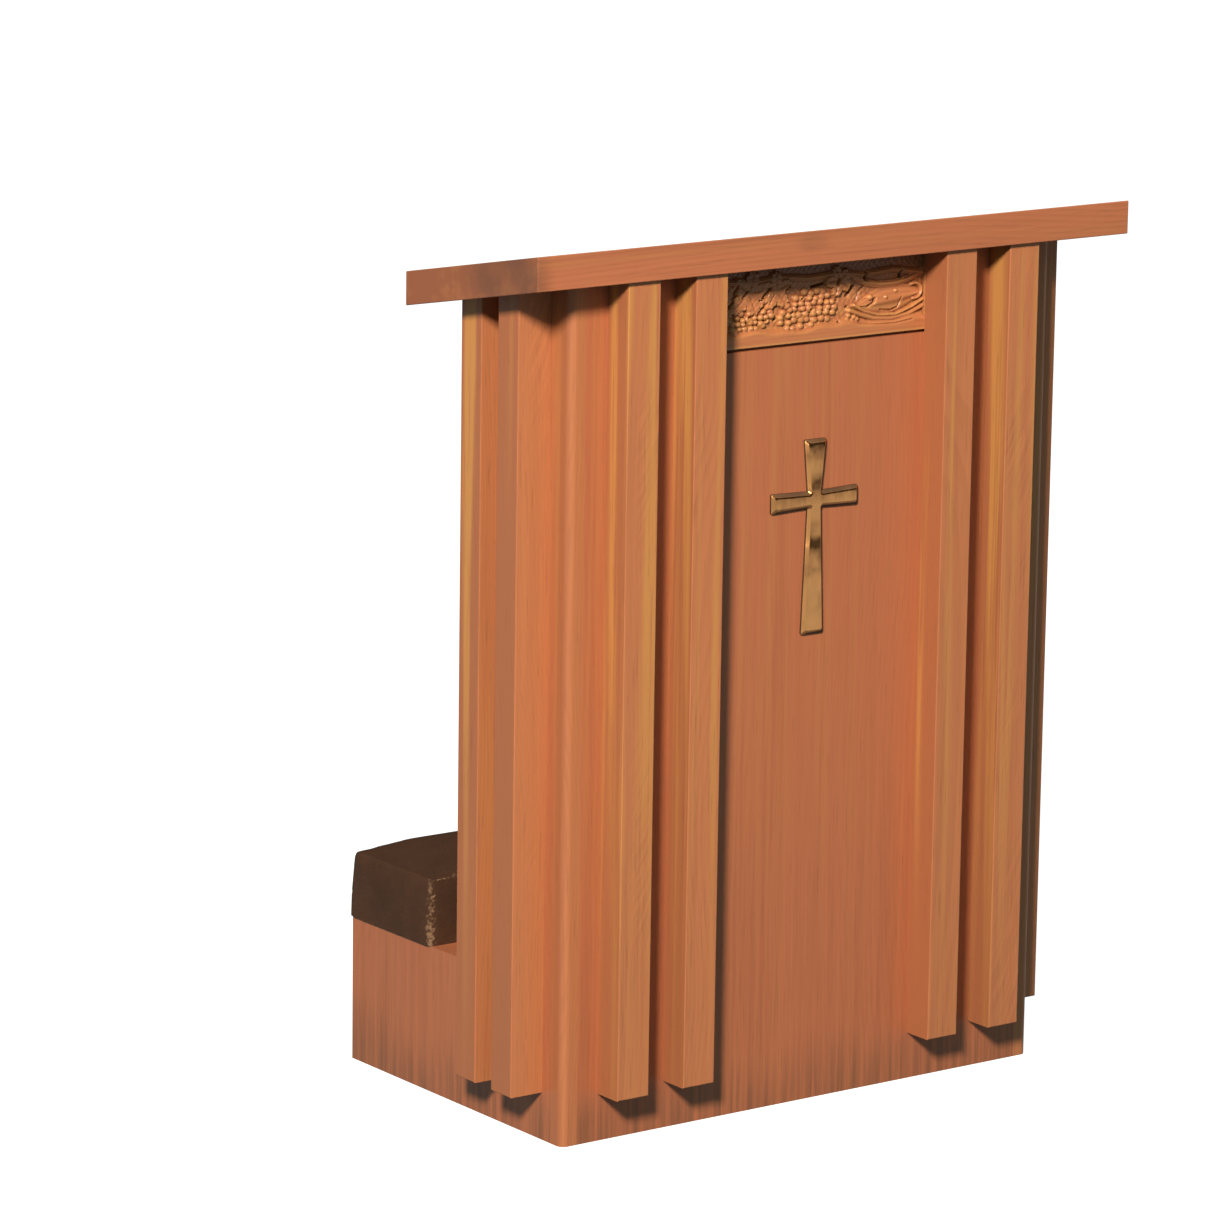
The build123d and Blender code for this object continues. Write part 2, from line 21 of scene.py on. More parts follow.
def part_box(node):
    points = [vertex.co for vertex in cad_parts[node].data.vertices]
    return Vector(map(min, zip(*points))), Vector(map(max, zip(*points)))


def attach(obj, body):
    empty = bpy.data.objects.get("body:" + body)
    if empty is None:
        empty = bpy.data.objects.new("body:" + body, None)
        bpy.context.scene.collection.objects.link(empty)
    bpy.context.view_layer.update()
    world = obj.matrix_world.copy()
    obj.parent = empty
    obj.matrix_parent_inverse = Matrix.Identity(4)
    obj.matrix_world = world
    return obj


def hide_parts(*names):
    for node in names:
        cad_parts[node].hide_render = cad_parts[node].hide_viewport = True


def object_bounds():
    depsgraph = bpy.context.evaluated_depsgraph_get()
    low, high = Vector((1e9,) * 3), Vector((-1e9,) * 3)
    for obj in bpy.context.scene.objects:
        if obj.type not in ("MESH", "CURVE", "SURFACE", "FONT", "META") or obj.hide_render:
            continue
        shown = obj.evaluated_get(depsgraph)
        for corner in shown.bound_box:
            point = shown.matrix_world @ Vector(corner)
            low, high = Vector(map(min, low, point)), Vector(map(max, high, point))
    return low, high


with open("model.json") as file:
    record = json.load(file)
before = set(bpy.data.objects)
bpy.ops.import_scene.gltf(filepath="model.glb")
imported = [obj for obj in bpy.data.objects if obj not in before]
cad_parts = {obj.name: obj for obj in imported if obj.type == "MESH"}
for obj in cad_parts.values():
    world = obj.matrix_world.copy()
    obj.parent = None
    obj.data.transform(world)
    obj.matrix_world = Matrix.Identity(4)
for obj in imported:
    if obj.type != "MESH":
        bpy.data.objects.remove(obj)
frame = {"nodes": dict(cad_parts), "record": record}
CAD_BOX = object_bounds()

LOG = logging.getLogger("kneeling_desk")
BODY = "root"
MM = 0.001
ARC_POINTS = 14
BURIED = -9.0  # height in mm, under any ground, that a carved shape has outside its outline
Colour = tuple[float, float, float]


# ------------------------------------------------------------------------------------------ shader maths


class Channel:
    """One output of a shader node. Arithmetic on it adds the Math nodes that work it out."""

    def __init__(self, graph: "NodeGraph", socket: bpy.types.NodeSocket) -> None:
        """Wrap an output socket of a graph."""
        self.graph = graph
        self.socket = socket

    def _math(self, operation: str, first: "Channel | float", second: "Channel | float") -> "Channel":
        """Add one Math node, by Blender's name for the operation."""
        return self.graph.node("ShaderNodeMath", {"operation": operation}, {0: first, 1: second})

    def __add__(self, other: "Channel | float") -> "Channel":
        """self + other."""
        return self._math("ADD", self, other)

    __radd__ = __add__

    def __sub__(self, other: "Channel | float") -> "Channel":
        """self - other."""
        return self._math("SUBTRACT", self, other)

    def __rsub__(self, other: float) -> "Channel":
        """other - self."""
        return self._math("SUBTRACT", other, self)

    def __mul__(self, other: "Channel | float") -> "Channel":
        """self * other."""
        return self._math("MULTIPLY", self, other)

    __rmul__ = __mul__

    def __truediv__(self, other: "Channel | float") -> "Channel":
        """self / other."""
        return self._math("DIVIDE", self, other)

    def __pow__(self, other: float) -> "Channel":
        """self to the power of other."""
        return self._math("POWER", self, other)

    def __mod__(self, other: float) -> "Channel":
        """self wrapped into the range from 0 to other."""
        return self._math("FLOORED_MODULO", self, other)

    def fade(self, start: float, end: float) -> "Channel":
        """Smooth step: 0 where self is at start, 1 where it is at end.

        Args:
            start: Value of self that gives 0.
            end: Value of self that gives 1. It may be below start.

        Returns:
            The faded value.
        """
        settings = {"interpolation_type": "SMOOTHSTEP"}
        if end > start:
            return self.graph.node("ShaderNodeMapRange", settings, {0: self, 1: start, 2: end})
        return 1.0 - self.graph.node("ShaderNodeMapRange", settings, {0: self, 1: end, 2: start})


class NodeGraph:
    """A node tree under construction."""

    def __init__(self, tree: bpy.types.NodeTree) -> None:
        """Work on a material's or a world's tree."""
        self.tree = tree

    def node(
        self,
        kind: str,
        settings: dict[str, object] | None = None,
        inputs: dict[int | str, object] | None = None,
        output: int | str = 0,
    ) -> Channel:
        """Add any node.

        Args:
            kind: Blender's type name for the node.
            settings: Properties, set first. "stops" sets a colour ramp's stops as (place, colour) pairs.
            inputs: Values or channels, by the input's number or name.
            output: Number or name of the output that is wanted.

        Returns:
            That output.
        """
        node = self.tree.nodes.new(kind)
        for name, value in (settings or {}).items():
            if name == "stops":
                self.set_stops(node.color_ramp, value)
            else:
                setattr(node, name, value)
        for key, value in (inputs or {}).items():
            if isinstance(value, Channel):
                self.tree.links.new(value.socket, node.inputs[key])
            else:
                node.inputs[key].default_value = value
        return Channel(self, node.outputs[output])

    @staticmethod
    def set_stops(ramp: bpy.types.ColorRamp, stops: list[tuple[float, Colour]]) -> None:
        """Give a colour ramp its stops.

        Args:
            ramp: The ramp, with its two first elements.
            stops: Place and colour of each stop, in order.
        """
        while len(ramp.elements) < len(stops):
            ramp.elements.new(0.5)
        for element, (place, colour) in zip(ramp.elements, stops):
            element.position = place
            element.color = (*colour, 1.0)

    def mix(self, factor: Channel | float, first: object, second: object, blend: str = "MIX") -> Channel:
        """Mix two colours.

        Args:
            factor: 0 gives the first colour, 1 the second.
            first: Colour or channel.
            second: Colour or channel.
            blend: Blender's name for the blend.

        Returns:
            The mixed colour.
        """
        colours = [(*c, 1.0) if isinstance(c, tuple) else c for c in (first, second)]
        settings = {"data_type": "RGBA", "blend_type": blend}
        return self.node("ShaderNodeMix", settings, {0: factor, 6: colours[0], 7: colours[1]}, output=2)

    def noise(self, vector: Channel, scale: float, detail: float = 2.0, roughness: float = 0.5) -> Channel:
        """Fractal noise from 0 to 1: scale in blobs per metre, detail in octaves."""
        inputs = {"Vector": vector, "Scale": scale, "Detail": detail, "Roughness": roughness}
        return self.node("ShaderNodeTexNoise", None, inputs)

    def stretched(self, vector: Channel, scale: Colour) -> Channel:
        """Coordinates multiplied along X, Y and Z."""
        return self.node("ShaderNodeMapping", None, {"Vector": vector, "Scale": scale})

    def parts(self, vector: Channel) -> tuple[Channel, Channel, Channel]:
        """Split a vector.

        Args:
            vector: Coordinates.

        Returns:
            Its X, Y and Z.
        """
        node = self.tree.nodes.new("ShaderNodeSeparateXYZ")
        self.tree.links.new(vector.socket, node.inputs[0])
        x, y, z = (Channel(self, socket) for socket in node.outputs)
        return x, y, z

    def attribute(self, name: str) -> Channel:
        """A number that a piece stores at each point."""
        return self.node("ShaderNodeAttribute", {"attribute_name": name}, output="Fac")

    def bump(self, height: Channel, distance: float) -> Channel:
        """Turn a height into a bent normal, where a height of 1 stands out by the distance."""
        return self.node("ShaderNodeBump", None, {"Height": height, "Distance": distance, "Strength": 1.0})


class ShaderGraph(NodeGraph):
    """A material under construction, with one Principled shader."""

    def __init__(self, name: str) -> None:
        """Start an empty material.

        Args:
            name: The material's name.
        """
        self.material = bpy.data.materials.new(name)
        self.material.use_nodes = True
        super().__init__(self.material.node_tree)
        self.tree.nodes.clear()
        output = self.tree.nodes.new("ShaderNodeOutputMaterial")
        self.shader = self.tree.nodes.new("ShaderNodeBsdfPrincipled")
        self.tree.links.new(self.shader.outputs[0], output.inputs[0])

    def set(self, **sockets: object) -> bpy.types.Material:
        """Fill the Principled shader's sockets.

        Args:
            **sockets: Values or channels, by the socket's name with _ for a space.

        Returns:
            The finished material.
        """
        for name, value in sockets.items():
            socket = self.shader.inputs[name.replace("_", " ")]
            if isinstance(value, Channel):
                self.tree.links.new(value.socket, socket)
            else:
                socket.default_value = (*value, 1.0) if isinstance(value, tuple) else value
        return self.material


# ------------------------------------------------------------------------------------------------ finishes


class Grain(Enum):
    """Which way a board's fibres run, as the turn that brings them upright."""

    UPRIGHT = (0.0, 0.0, 0.0)
    ACROSS = (0.0, math.radians(90), 0.0)
    DEEP = (math.radians(90), 0.0, 0.0)


@dataclass(frozen=True)
class Smudge:
    """A darkened patch where hands or boxes have rubbed: its middle and half sizes, in metres."""

    centre: Colour
    reach: Colour
    strength: float = 0.6


@dataclass(frozen=True)
class WoodFinish:
    """Stained and lacquered oak: growth rings, streaks, fibres and open pores along the grain."""

    name: str
    light: Colour = (0.473, 0.151, 0.063)
    dark: Colour = (0.336, 0.096, 0.040)
    honey: Colour = (0.480, 0.200, 0.062)
    pore: Colour = (0.17, 0.060, 0.026)
    ring_spacing: float = 0.006
    ring_contrast: float = 0.25
    streak_contrast: float = 0.30
    honey_share: float = 0.35
    pith_distance: float = 0.15
    # How much darker the faces toward ±X are: painted shade on the battens and posts, end grain on the book
    # board.
    side_tone: float = 0.0
    pore_depth: float = 0.35
    feather: float = 0.0
    feather_middle: float = 0.0
    roughness: float = 0.46
    coat: float = 0.04
    floor_darkening: float = 0.0
    smudges: tuple[Smudge, ...] = ()
    floor_dark_tone: Colour = (0.105, 0.055, 0.028)
    smudge_tone: Colour = (0.105, 0.048, 0.028)

    def material(self, grain: Grain, seed: int) -> bpy.types.Material:
        """Make the finish for one board.

        Args:
            grain: Which way the board's fibres run.
            seed: Picks the slice of the tree that the board was cut from.

        Returns:
            The material.
        """
        graph = ShaderGraph(f"{self.name}_{seed}")
        place = graph.node("ShaderNodeTexCoord", output="Object")
        slice_offset = (0.37 * (seed % 7), 0.61 * (seed % 5), 1.3 * (seed % 11))
        fibres = graph.node(
            "ShaderNodeMapping",
            None,
            {"Vector": place, "Rotation": grain.value, "Location": slice_offset},
        )
        rings = self._rings(graph, place, grain, seed)
        bands = graph.noise(graph.stretched(fibres, (38.0, 38.0, 0.9)), 1.0, 1.0)
        streaks = graph.noise(graph.stretched(fibres, (130.0, 130.0, 2.2)), 1.0, 3.0, 0.6)
        fine = graph.noise(graph.stretched(fibres, (620.0, 620.0, 14.0)), 1.0, 3.0, 0.65)
        hair = graph.noise(graph.stretched(fibres, (1700.0, 1700.0, 38.0)), 1.0, 1.0)
        pores = fine.fade(0.54, 0.68) * hair.fade(0.44, 0.60)

        tone = rings * self.ring_contrast + (streaks - 0.5) * self.streak_contrast * 2.0 + 0.28
        tone = tone + (fine - 0.5) * 0.30 + (bands - 0.5) * 0.6
        # Faces toward ±X darker: painted shade on the battens and posts, end grain on the book board.
        if self.side_tone:
            facing = graph.parts(graph.node("ShaderNodeTexCoord", output="Normal"))[0]
            tone = tone + facing * facing * self.side_tone
        if self.feather:
            tone = tone + self._feather(graph, place) * self.feather
        colour = graph.mix(tone, self.light, self.dark)
        # Honey streaks fade out towards the bottom.
        honey_by_height = graph.parts(place)[2].fade(0.08, 0.60) * 0.75 + 0.25
        honey_mask = bands.fade(0.50, 0.64) * streaks.fade(0.66, 0.44) * honey_by_height * self.honey_share * 2.0
        colour = graph.mix(honey_mask, colour, self.honey)
        colour = graph.mix(pores * self.pore_depth, colour, self.pore)
        # Darker towards the floor.
        if self.floor_darkening > 0:
            low_darkening = self._darker_low(graph, place, fine, streaks) * self.floor_darkening
            colour = graph.mix(low_darkening, colour, self.floor_dark_tone)
        for smudge in self.smudges:
            colour = graph.mix(self._smudge(graph, place, smudge, fine), colour, self.smudge_tone)

        rough = graph.noise(graph.stretched(fibres, (30.0, 30.0, 4.0)), 1.0, 2.0)
        height = fine * 0.35 + (1.0 - pores) * 0.65
        return graph.set(
            Base_Color=self.over(graph, colour),
            Roughness=rough * 0.16 + pores * 0.2 + (self.roughness - 0.08),
            Normal=graph.bump(height, 0.00012),
            Coat_Weight=self.coat,
            Coat_Roughness=0.25,
            Specular_IOR_Level=0.35,
        )

    def over(self, graph: ShaderGraph, colour: Channel) -> Channel:
        """The colour with whatever lies over the plain wood, which is nothing here."""
        return colour

    def _rings(self, graph: ShaderGraph, place: Channel, grain: Grain, seed: int) -> Channel:
        """Growth rings: distance from a leaning pith line behind the board, bent by slow noise.

        Args:
            graph: The material.
            place: Object coordinates.
            grain: Which way the fibres run.
            seed: Picks where the pith lies.

        Returns:
            0 in early wood, rising to 1 at each ring's dark edge.
        """
        turned = graph.node("ShaderNodeMapping", None, {"Vector": place, "Rotation": grain.value})
        x, y, z = graph.parts(turned)
        sway = graph.noise(graph.stretched(turned, (2.5, 2.5, 0.9)), 1.0 + 0.13 * (seed % 4), 2.0)
        wobble = graph.noise(graph.stretched(turned, (25.0, 25.0, 3.0)), 1.0, 2.0)
        pith_x = 0.04 * ((seed * 5) % 9 - 4)
        lean = 0.05 * ((seed * 3) % 5 - 2) / 2
        across = x + z * lean + sway * 0.16 - (0.08 - pith_x)
        through = y + sway * 0.10 + self.pith_distance * (1 if seed % 2 else -1)
        radius = (across * across + through * through) ** 0.5 + wobble * 0.006
        phase = (radius / self.ring_spacing) % 1.0
        return phase.fade(0.25, 0.92) * (1.0 - phase.fade(0.92, 1.0))

    def _feather(self, graph: ShaderGraph, place: Channel) -> Channel:
        """Curly figure: ripples that climb to the right of a line up the middle of the batten.

        Args:
            graph: The material.
            place: Object coordinates.

        Returns:
            Ripples from -0.5 to 0.5, fading out to the left of the line.
        """
        x, _, z = graph.parts(place)
        across = x - self.feather_middle
        bend = graph.noise(graph.stretched(place, (20.0, 20.0, 7.0)), 1.0, 2.0)
        climb = z - across * 1.7 - across * across * 18.0 + bend * 0.035
        line = graph.node("ShaderNodeCombineXYZ", None, {0: climb * 105.0, 1: across * 30.0, 2: z * 3.0})
        ripple = graph.noise(line, 1.0, 2.0, 0.5)
        lively = graph.noise(graph.stretched(place, (9.0, 9.0, 5.0)), 1.0, 1.0).fade(0.40, 0.62)
        return (ripple.fade(0.30, 0.70) - 0.5) * across.fade(-0.012, 0.010) * lively

    @staticmethod
    def _darker_low(graph: ShaderGraph, place: Channel, fine: Channel, streaks: Channel) -> Channel:
        """Darkening that rises from the floor along the grain.

        Args:
            graph: The material.
            place: Object coordinates.
            fine: Fine fibre noise.
            streaks: Wider streak noise.

        Returns:
            Strongest at the floor, gone some 250 mm up.
        """
        height = graph.parts(place)[2]
        patches = graph.noise(graph.stretched(place, (9.0, 9.0, 4.0)), 1.0, 3.0, 0.6)
        low = (height - patches * 0.10 + 0.03).fade(0.055, -0.01)
        high = (height - patches * 0.30 + 0.05).fade(0.32, 0.02)
        lines = (fine * 0.4 + streaks * 0.6).fade(0.35, 0.68)
        return low * (lines * 0.35 + streaks.fade(0.25, 0.75) * 0.5 + 0.12) + high * lines * 0.30

    @staticmethod
    def _smudge(graph: ShaderGraph, place: Channel, smudge: Smudge, fine: Channel) -> Channel:
        """One rubbed patch, broken up by the fibres.

        Args:
            graph: The material.
            place: Object coordinates.
            smudge: Where it lies.
            fine: Fine fibre noise.

        Returns:
            Its strength over the surface.
        """
        inputs = {"Vector": place, "Location": smudge.centre, "Scale": smudge.reach}
        local = graph.node("ShaderNodeMapping", {"vector_type": "TEXTURE"}, inputs)
        ball = graph.node("ShaderNodeTexGradient", {"gradient_type": "SPHERICAL"}, {"Vector": local}, "Fac")
        blots = graph.noise(place, 30.0, 2.0, 0.5).fade(0.25, 0.75) * 0.5 + 0.5
        return ball.fade(0.0, 0.7) * blots * (fine * 0.5 + 0.5) * smudge.strength


@dataclass(frozen=True)
class CarvedWoodFinish(WoodFinish):
    """The same oak, darker in the cuts and lighter on the crests, with painted shade in the groove and under
    the book board.

    It reads two attributes of the carving: "depth" is 1 in the cuts and in the painted shade, and "crest" on
    what stands out.
    """

    # Colour of the cuts, and of the painted shade in the groove and under the book board.
    cut_and_shade_tone: Colour = (0.070, 0.026, 0.013)
    crest: Colour = (0.60, 0.290, 0.085)

    def over(self, graph: ShaderGraph, colour: Channel) -> Channel:
        """Lay the lighter crests, the dark cuts and the painted shade over the wood."""
        colour = graph.mix(graph.attribute("crest") * 0.45, colour, self.crest)
        # Darker in the cuts, and painted shade in the groove and under the book board.
        return graph.mix(graph.attribute("depth") * 0.8, colour, self.cut_and_shade_tone)


@dataclass(frozen=True)
class BrassFinish:
    """Polished cast brass, uneven from hand polishing, with dark reflection bands painted into its colour at
    the swells.

    It reads two attributes: "grime" is 1 on the walls next to the wood, and is painted shade on bevels that
    face away from the light and a painted dark reflection on bevels that face up; "edge" is 1 on the slope up
    to the face.
    """

    colour: Colour = (0.86, 0.42, 0.15)
    # Colour of the tarnish and of the painted dark reflection bands.
    tarnish_and_reflection: Colour = (0.32, 0.14, 0.055)
    # Colour of the grime on the walls and of the painted shade on the bevels.
    grime: Colour = (0.060, 0.034, 0.018)
    roughness: float = 0.13
    # Height below the top, width and rise of each swell; each also darkens the colour as a painted dark
    # reflection band.
    swells: tuple[tuple[float, float, float], ...] = (
        (-0.012, 0.0090, 0.90),
        (-0.055, 0.0110, 1.10),
        (-0.122, 0.0190, 2.20),
    )

    def material(self, top: float) -> bpy.types.Material:
        """Make the finish.

        Args:
            top: Height of the cross's top.

        Returns:
            The material.
        """
        graph = ShaderGraph("polished_brass")
        place = graph.node("ShaderNodeTexCoord", output="Object")
        smears = graph.noise(graph.stretched(place, (60.0, 60.0, 25.0)), 1.0, 4.0, 0.6)
        specks = graph.noise(place, 420.0, 3.0, 0.6)
        swell = graph.noise(place, 34.0, 1.0)
        height = swell * 1.1 + specks * 0.01
        drift = graph.noise(place, 60.0, 1.0) * 0.006 - 0.003
        up = graph.parts(place)[2] + drift
        # dull carries the painted dark reflection bands at the swells, laid into the tarnish.
        dull = 0.0
        for below, width, rise in self.swells:
            away = (up - (top + below)) / width
            hump = graph.node("ShaderNodeMath", {"operation": "EXPONENT"}, {0: away * away * -1.0})
            height = height + hump * rise
            dull = hump * 0.6 + dull
        tarnish_and_reflection = smears.fade(0.54, 0.76) * 0.35 + specks.fade(0.66, 0.78) * 0.2
        tarnish_and_reflection = tarnish_and_reflection + dull * smears.fade(0.30, 0.60)
        # Grime on the walls, and painted shade and a painted dark reflection on the bevels.
        grime = graph.attribute("grime")
        edge = graph.attribute("edge")
        colour = graph.mix(tarnish_and_reflection, self.colour, self.tarnish_and_reflection)
        return graph.set(
            Base_Color=graph.mix(grime, colour, self.grime),
            Metallic=1.0 - grime * 0.8,
            Roughness=smears * 0.08 + tarnish_and_reflection * 0.12 + grime * 0.4 + edge * 0.17 + (self.roughness - 0.04),
            Normal=graph.bump(height, 0.0012),
        )


@dataclass(frozen=True)
class LeatherFinish:
    """Dark grained hide. It reads the attribute "wear", which is 1 along rubbed edges and where a highlight
    is painted on the front edges.
    """

    colour: Colour = (0.072, 0.0295, 0.0112)
    deep: Colour = (0.050, 0.0195, 0.0072)
    # Colour of the rubbed edges and of the painted highlight on the front edges.
    rubbed: Colour = (0.24, 0.135, 0.070)
    roughness: float = 0.60

    def material(self) -> bpy.types.Material:
        """Make the finish.

        Returns:
            The material.
        """
        graph = ShaderGraph("dark_hide")
        place = graph.node("ShaderNodeTexCoord", output="Object")
        swirl = graph.node("ShaderNodeTexNoise", None, {0: place, "Scale": 90.0}, 1)
        inputs = {"Vector": graph.mix(0.004, place, swirl, "ADD"), "Scale": 520.0}
        cells = graph.node("ShaderNodeTexVoronoi", {"feature": "DISTANCE_TO_EDGE"}, inputs)
        pebbles = cells.fade(0.0, 0.22)
        mottle = graph.noise(place, 18.0, 4.0, 0.6)
        grit = graph.noise(place, 260.0, 3.0, 0.7)
        wear = graph.attribute("wear")
        dashes = graph.noise(place, 75.0, 2.0, 0.6).fade(0.42, 0.58)
        # Rubbed edges and the painted highlight, broken into dashes.
        rubs_and_sheen = (wear + (grit - 0.5) * 3.2 + dashes * 0.30 - 0.72).fade(0.0, 0.60) * wear.fade(0.05, 0.55)
        colour = graph.mix(mottle.fade(0.35, 0.7), self.colour, self.deep)
        colour = graph.mix((1.0 - pebbles) * 0.6, colour, self.deep)
        colour = graph.mix(rubs_and_sheen, colour, self.rubbed)
        return graph.set(
            Base_Color=colour,
            Roughness=mottle * 0.14 + rubs_and_sheen * 0.12 + (1.0 - pebbles) * 0.08 + (self.roughness - 0.06),
            Normal=graph.bump(pebbles * 0.8 + grit * 0.2, 0.00035),
            Specular_IOR_Level=0.3,
        )


@dataclass(frozen=True)
class SteelFinish:
    """Zinc-plated steel of the screws, nuts and washers."""

    colour: Colour = (0.55, 0.54, 0.50)
    dull: Colour = (0.36, 0.34, 0.28)

    def material(self) -> bpy.types.Material:
        """Make the finish.

        Returns:
            The material.
        """
        graph = ShaderGraph("zinc_plate")
        place = graph.node("ShaderNodeTexCoord", output="Object")
        bloom = graph.noise(place, 300.0, 3.0, 0.6)
        return graph.set(
            Base_Color=graph.mix(bloom, self.colour, self.dull),
            Metallic=1.0,
            Roughness=bloom * 0.25 + 0.25,
            Normal=graph.bump(bloom, 0.00005),
        )


PANEL = WoodFinish(
    "oak_veneer",
    ring_contrast=0.10,
    streak_contrast=0.22,
    honey_share=0.16,
    pore_depth=0.22,
    floor_darkening=0.5,
)
# Painted shade: the side panels' veneer is a darker copy of the front panel's.
SHADED_SIDE_PANEL = replace(PANEL, name="oak_veneer_side_shaded", light=(0.425, 0.139, 0.058), dark=(0.306, 0.089, 0.037))
END_TONE = 1.5
BATTEN = WoodFinish(
    "oak_batten",
    light=(0.510, 0.178, 0.068),
    dark=(0.352, 0.120, 0.048),
    honey=(0.525, 0.236, 0.064),
    ring_spacing=0.0045,
    ring_contrast=0.20,
    streak_contrast=0.34,
    honey_share=0.43,
    pith_distance=0.06,
    # Painted shade: the faces toward ±X darker.
    side_tone=0.85,
)
CURLY_BATTEN = replace(BATTEN, name="oak_batten_curly", feather=0.55, ring_contrast=0.1)
POST = replace(BATTEN, name="oak_post", light=(0.475, 0.166, 0.063), honey_share=0.20)
BOARD = WoodFinish(
    "oak_board",
    light=(0.520, 0.168, 0.070),
    dark=(0.262, 0.086, 0.037),
    side_tone=END_TONE,
    pore_depth=0.25,
    ring_contrast=0.14,
    streak_contrast=0.24,
    honey_share=0.10,
    pith_distance=0.10,
    smudges=(
        Smudge((-0.375, -0.160, 0.893), (0.03, 0.090, 0.050), 0.95),
        Smudge((-0.320, -0.100, 0.880), (0.09, 0.060, 0.030), 0.4),
        Smudge((-0.040, -0.211, 0.906), (0.030, 0.02, 0.014), 0.30),
    ),
)
CARVED = CarvedWoodFinish(
    "oak_carved",
    light=(0.517, 0.188, 0.068),
    ring_contrast=0.15,
    honey_share=0.45,
    pore_depth=0.2,
    roughness=0.38,
    coat=0.14,
)
INNER = WoodFinish(
    "pale_softwood",
    light=(0.62, 0.40, 0.21),
    dark=(0.44, 0.24, 0.11),
    honey=(0.64, 0.43, 0.22),
    pore=(0.30, 0.16, 0.07),
    roughness=0.62,
    coat=0.0,
)


# ------------------------------------------------------------------------------------------------- meshes


def mesh_object(
    name: str, points: np.ndarray, faces: list[tuple[int, ...]], crease: float
) -> bpy.types.Object:
    """Make an object at the origin from points and faces.

    Args:
        name: The piece's name.
        points: Points, one row each.
        faces: Corner numbers of each face, anticlockwise from outside.
        crease: Angle in degrees above which an edge looks sharp.

    Returns:
        The object, linked to the scene.
    """
    mesh = bpy.data.meshes.new(name)
    mesh.from_pydata(points.tolist(), [], faces)
    mesh.validate()
    mesh.polygons.foreach_set("use_smooth", np.ones(len(mesh.polygons), dtype=bool))
    mesh.set_sharp_from_angle(angle=math.radians(crease))
    piece = bpy.data.objects.new(name, mesh)
    bpy.context.scene.collection.objects.link(piece)
    return piece


def grid_faces(rows: int, columns: int, first: int = 0, closed: bool = False) -> np.ndarray:
    """Quads of a grid whose points are numbered row by row.

    Args:
        rows: Rows of points.
        columns: Points in a row.
        first: Number of the first point.
        closed: Whether each row's last point joins its first.

    Returns:
        Four corner numbers for each quad.
    """
    spans = columns if closed else columns - 1
    row, column = np.meshgrid(np.arange(rows - 1), np.arange(spans), indexing="ij")
    following = (column + 1) % columns
    corners = [row * columns + column, row * columns + following]
    corners += [(row + 1) * columns + following, (row + 1) * columns + column]
    return first + np.stack(corners, axis=-1).reshape(-1, 4)


def add_attribute(piece: bpy.types.Object, name: str, values: np.ndarray) -> None:
    """Store one number for each point of a piece, under the name that its finish reads."""
    attribute = piece.data.attributes.new(name, "FLOAT", "POINT")
    attribute.data.foreach_set("value", values.astype(np.float32))


def dress(piece: bpy.types.Object, material: bpy.types.Material) -> None:
    """Give a piece one material, in all the slots that it has.

    Args:
        piece: The piece.
        material: Its finish.
    """
    if not piece.material_slots:
        piece.data.materials.append(material)
    for holder in piece.material_slots:
        holder.material = material


# ------------------------------------------------------------------------------------------------ cabinet


@dataclass
class Joinery:
    """The boards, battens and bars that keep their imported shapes."""

    def dress_all(self) -> None:
        """Give every packed wooden and steel piece its finish, a new slice of the tree for each board."""
        steel = SteelFinish().material()
        for number, (name, node) in enumerate(sorted(frame["nodes"].items())):
            finish, grain = self.choose(name)
            if finish is None:
                dress(node, steel)
            else:
                dress(node, finish.material(grain, number + 3))
            LOG.info("%s finished", name)

    @staticmethod
    def choose(name: str) -> tuple[WoodFinish | None, Grain]:
        """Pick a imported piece's finish and grain.

        Args:
            name: The piece's name.

        Returns:
            Its wood finish, or None for steel, and the way its fibres run.
        """
        if "screws" in name or name in ("cross_studs", "cross_nuts", "cross_washers"):
            return None, Grain.UPRIGHT
        if name in ("front_batten_1", "front_batten_4", "side_batten_left_front"):
            low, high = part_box(name)
            share = 0.05 if name == "front_batten_4" else 0.4
            return replace(CURLY_BATTEN, feather_middle=low.x + (high.x - low.x) * share), Grain.UPRIGHT
        if "batten" in name:
            return BATTEN, Grain.UPRIGHT
        if "post" in name:
            return POST, Grain.UPRIGHT
        if name == "desk_board":
            return BOARD, Grain.ACROSS
        if name in ("kneeler_top", "book_shelf", "kneeler_back_panel"):
            return PANEL, Grain.ACROSS
        if name in ("side_panel_left", "side_panel_right"):
            return SHADED_SIDE_PANEL, Grain.UPRIGHT
        if name == "front_panel":
            return PANEL, Grain.UPRIGHT
        if name in ("desk_cleat_left", "desk_cleat_right", "kneeler_cleat_left", "kneeler_cleat_right"):
            return INNER, Grain.DEEP
        if name.startswith("shelf_cleat"):
            return INNER, Grain.DEEP
        if name == "corner_blocks":
            return INNER, Grain.UPRIGHT
        return INNER, Grain.ACROSS


# ----------------------------------------------------------------------------------------------- carving


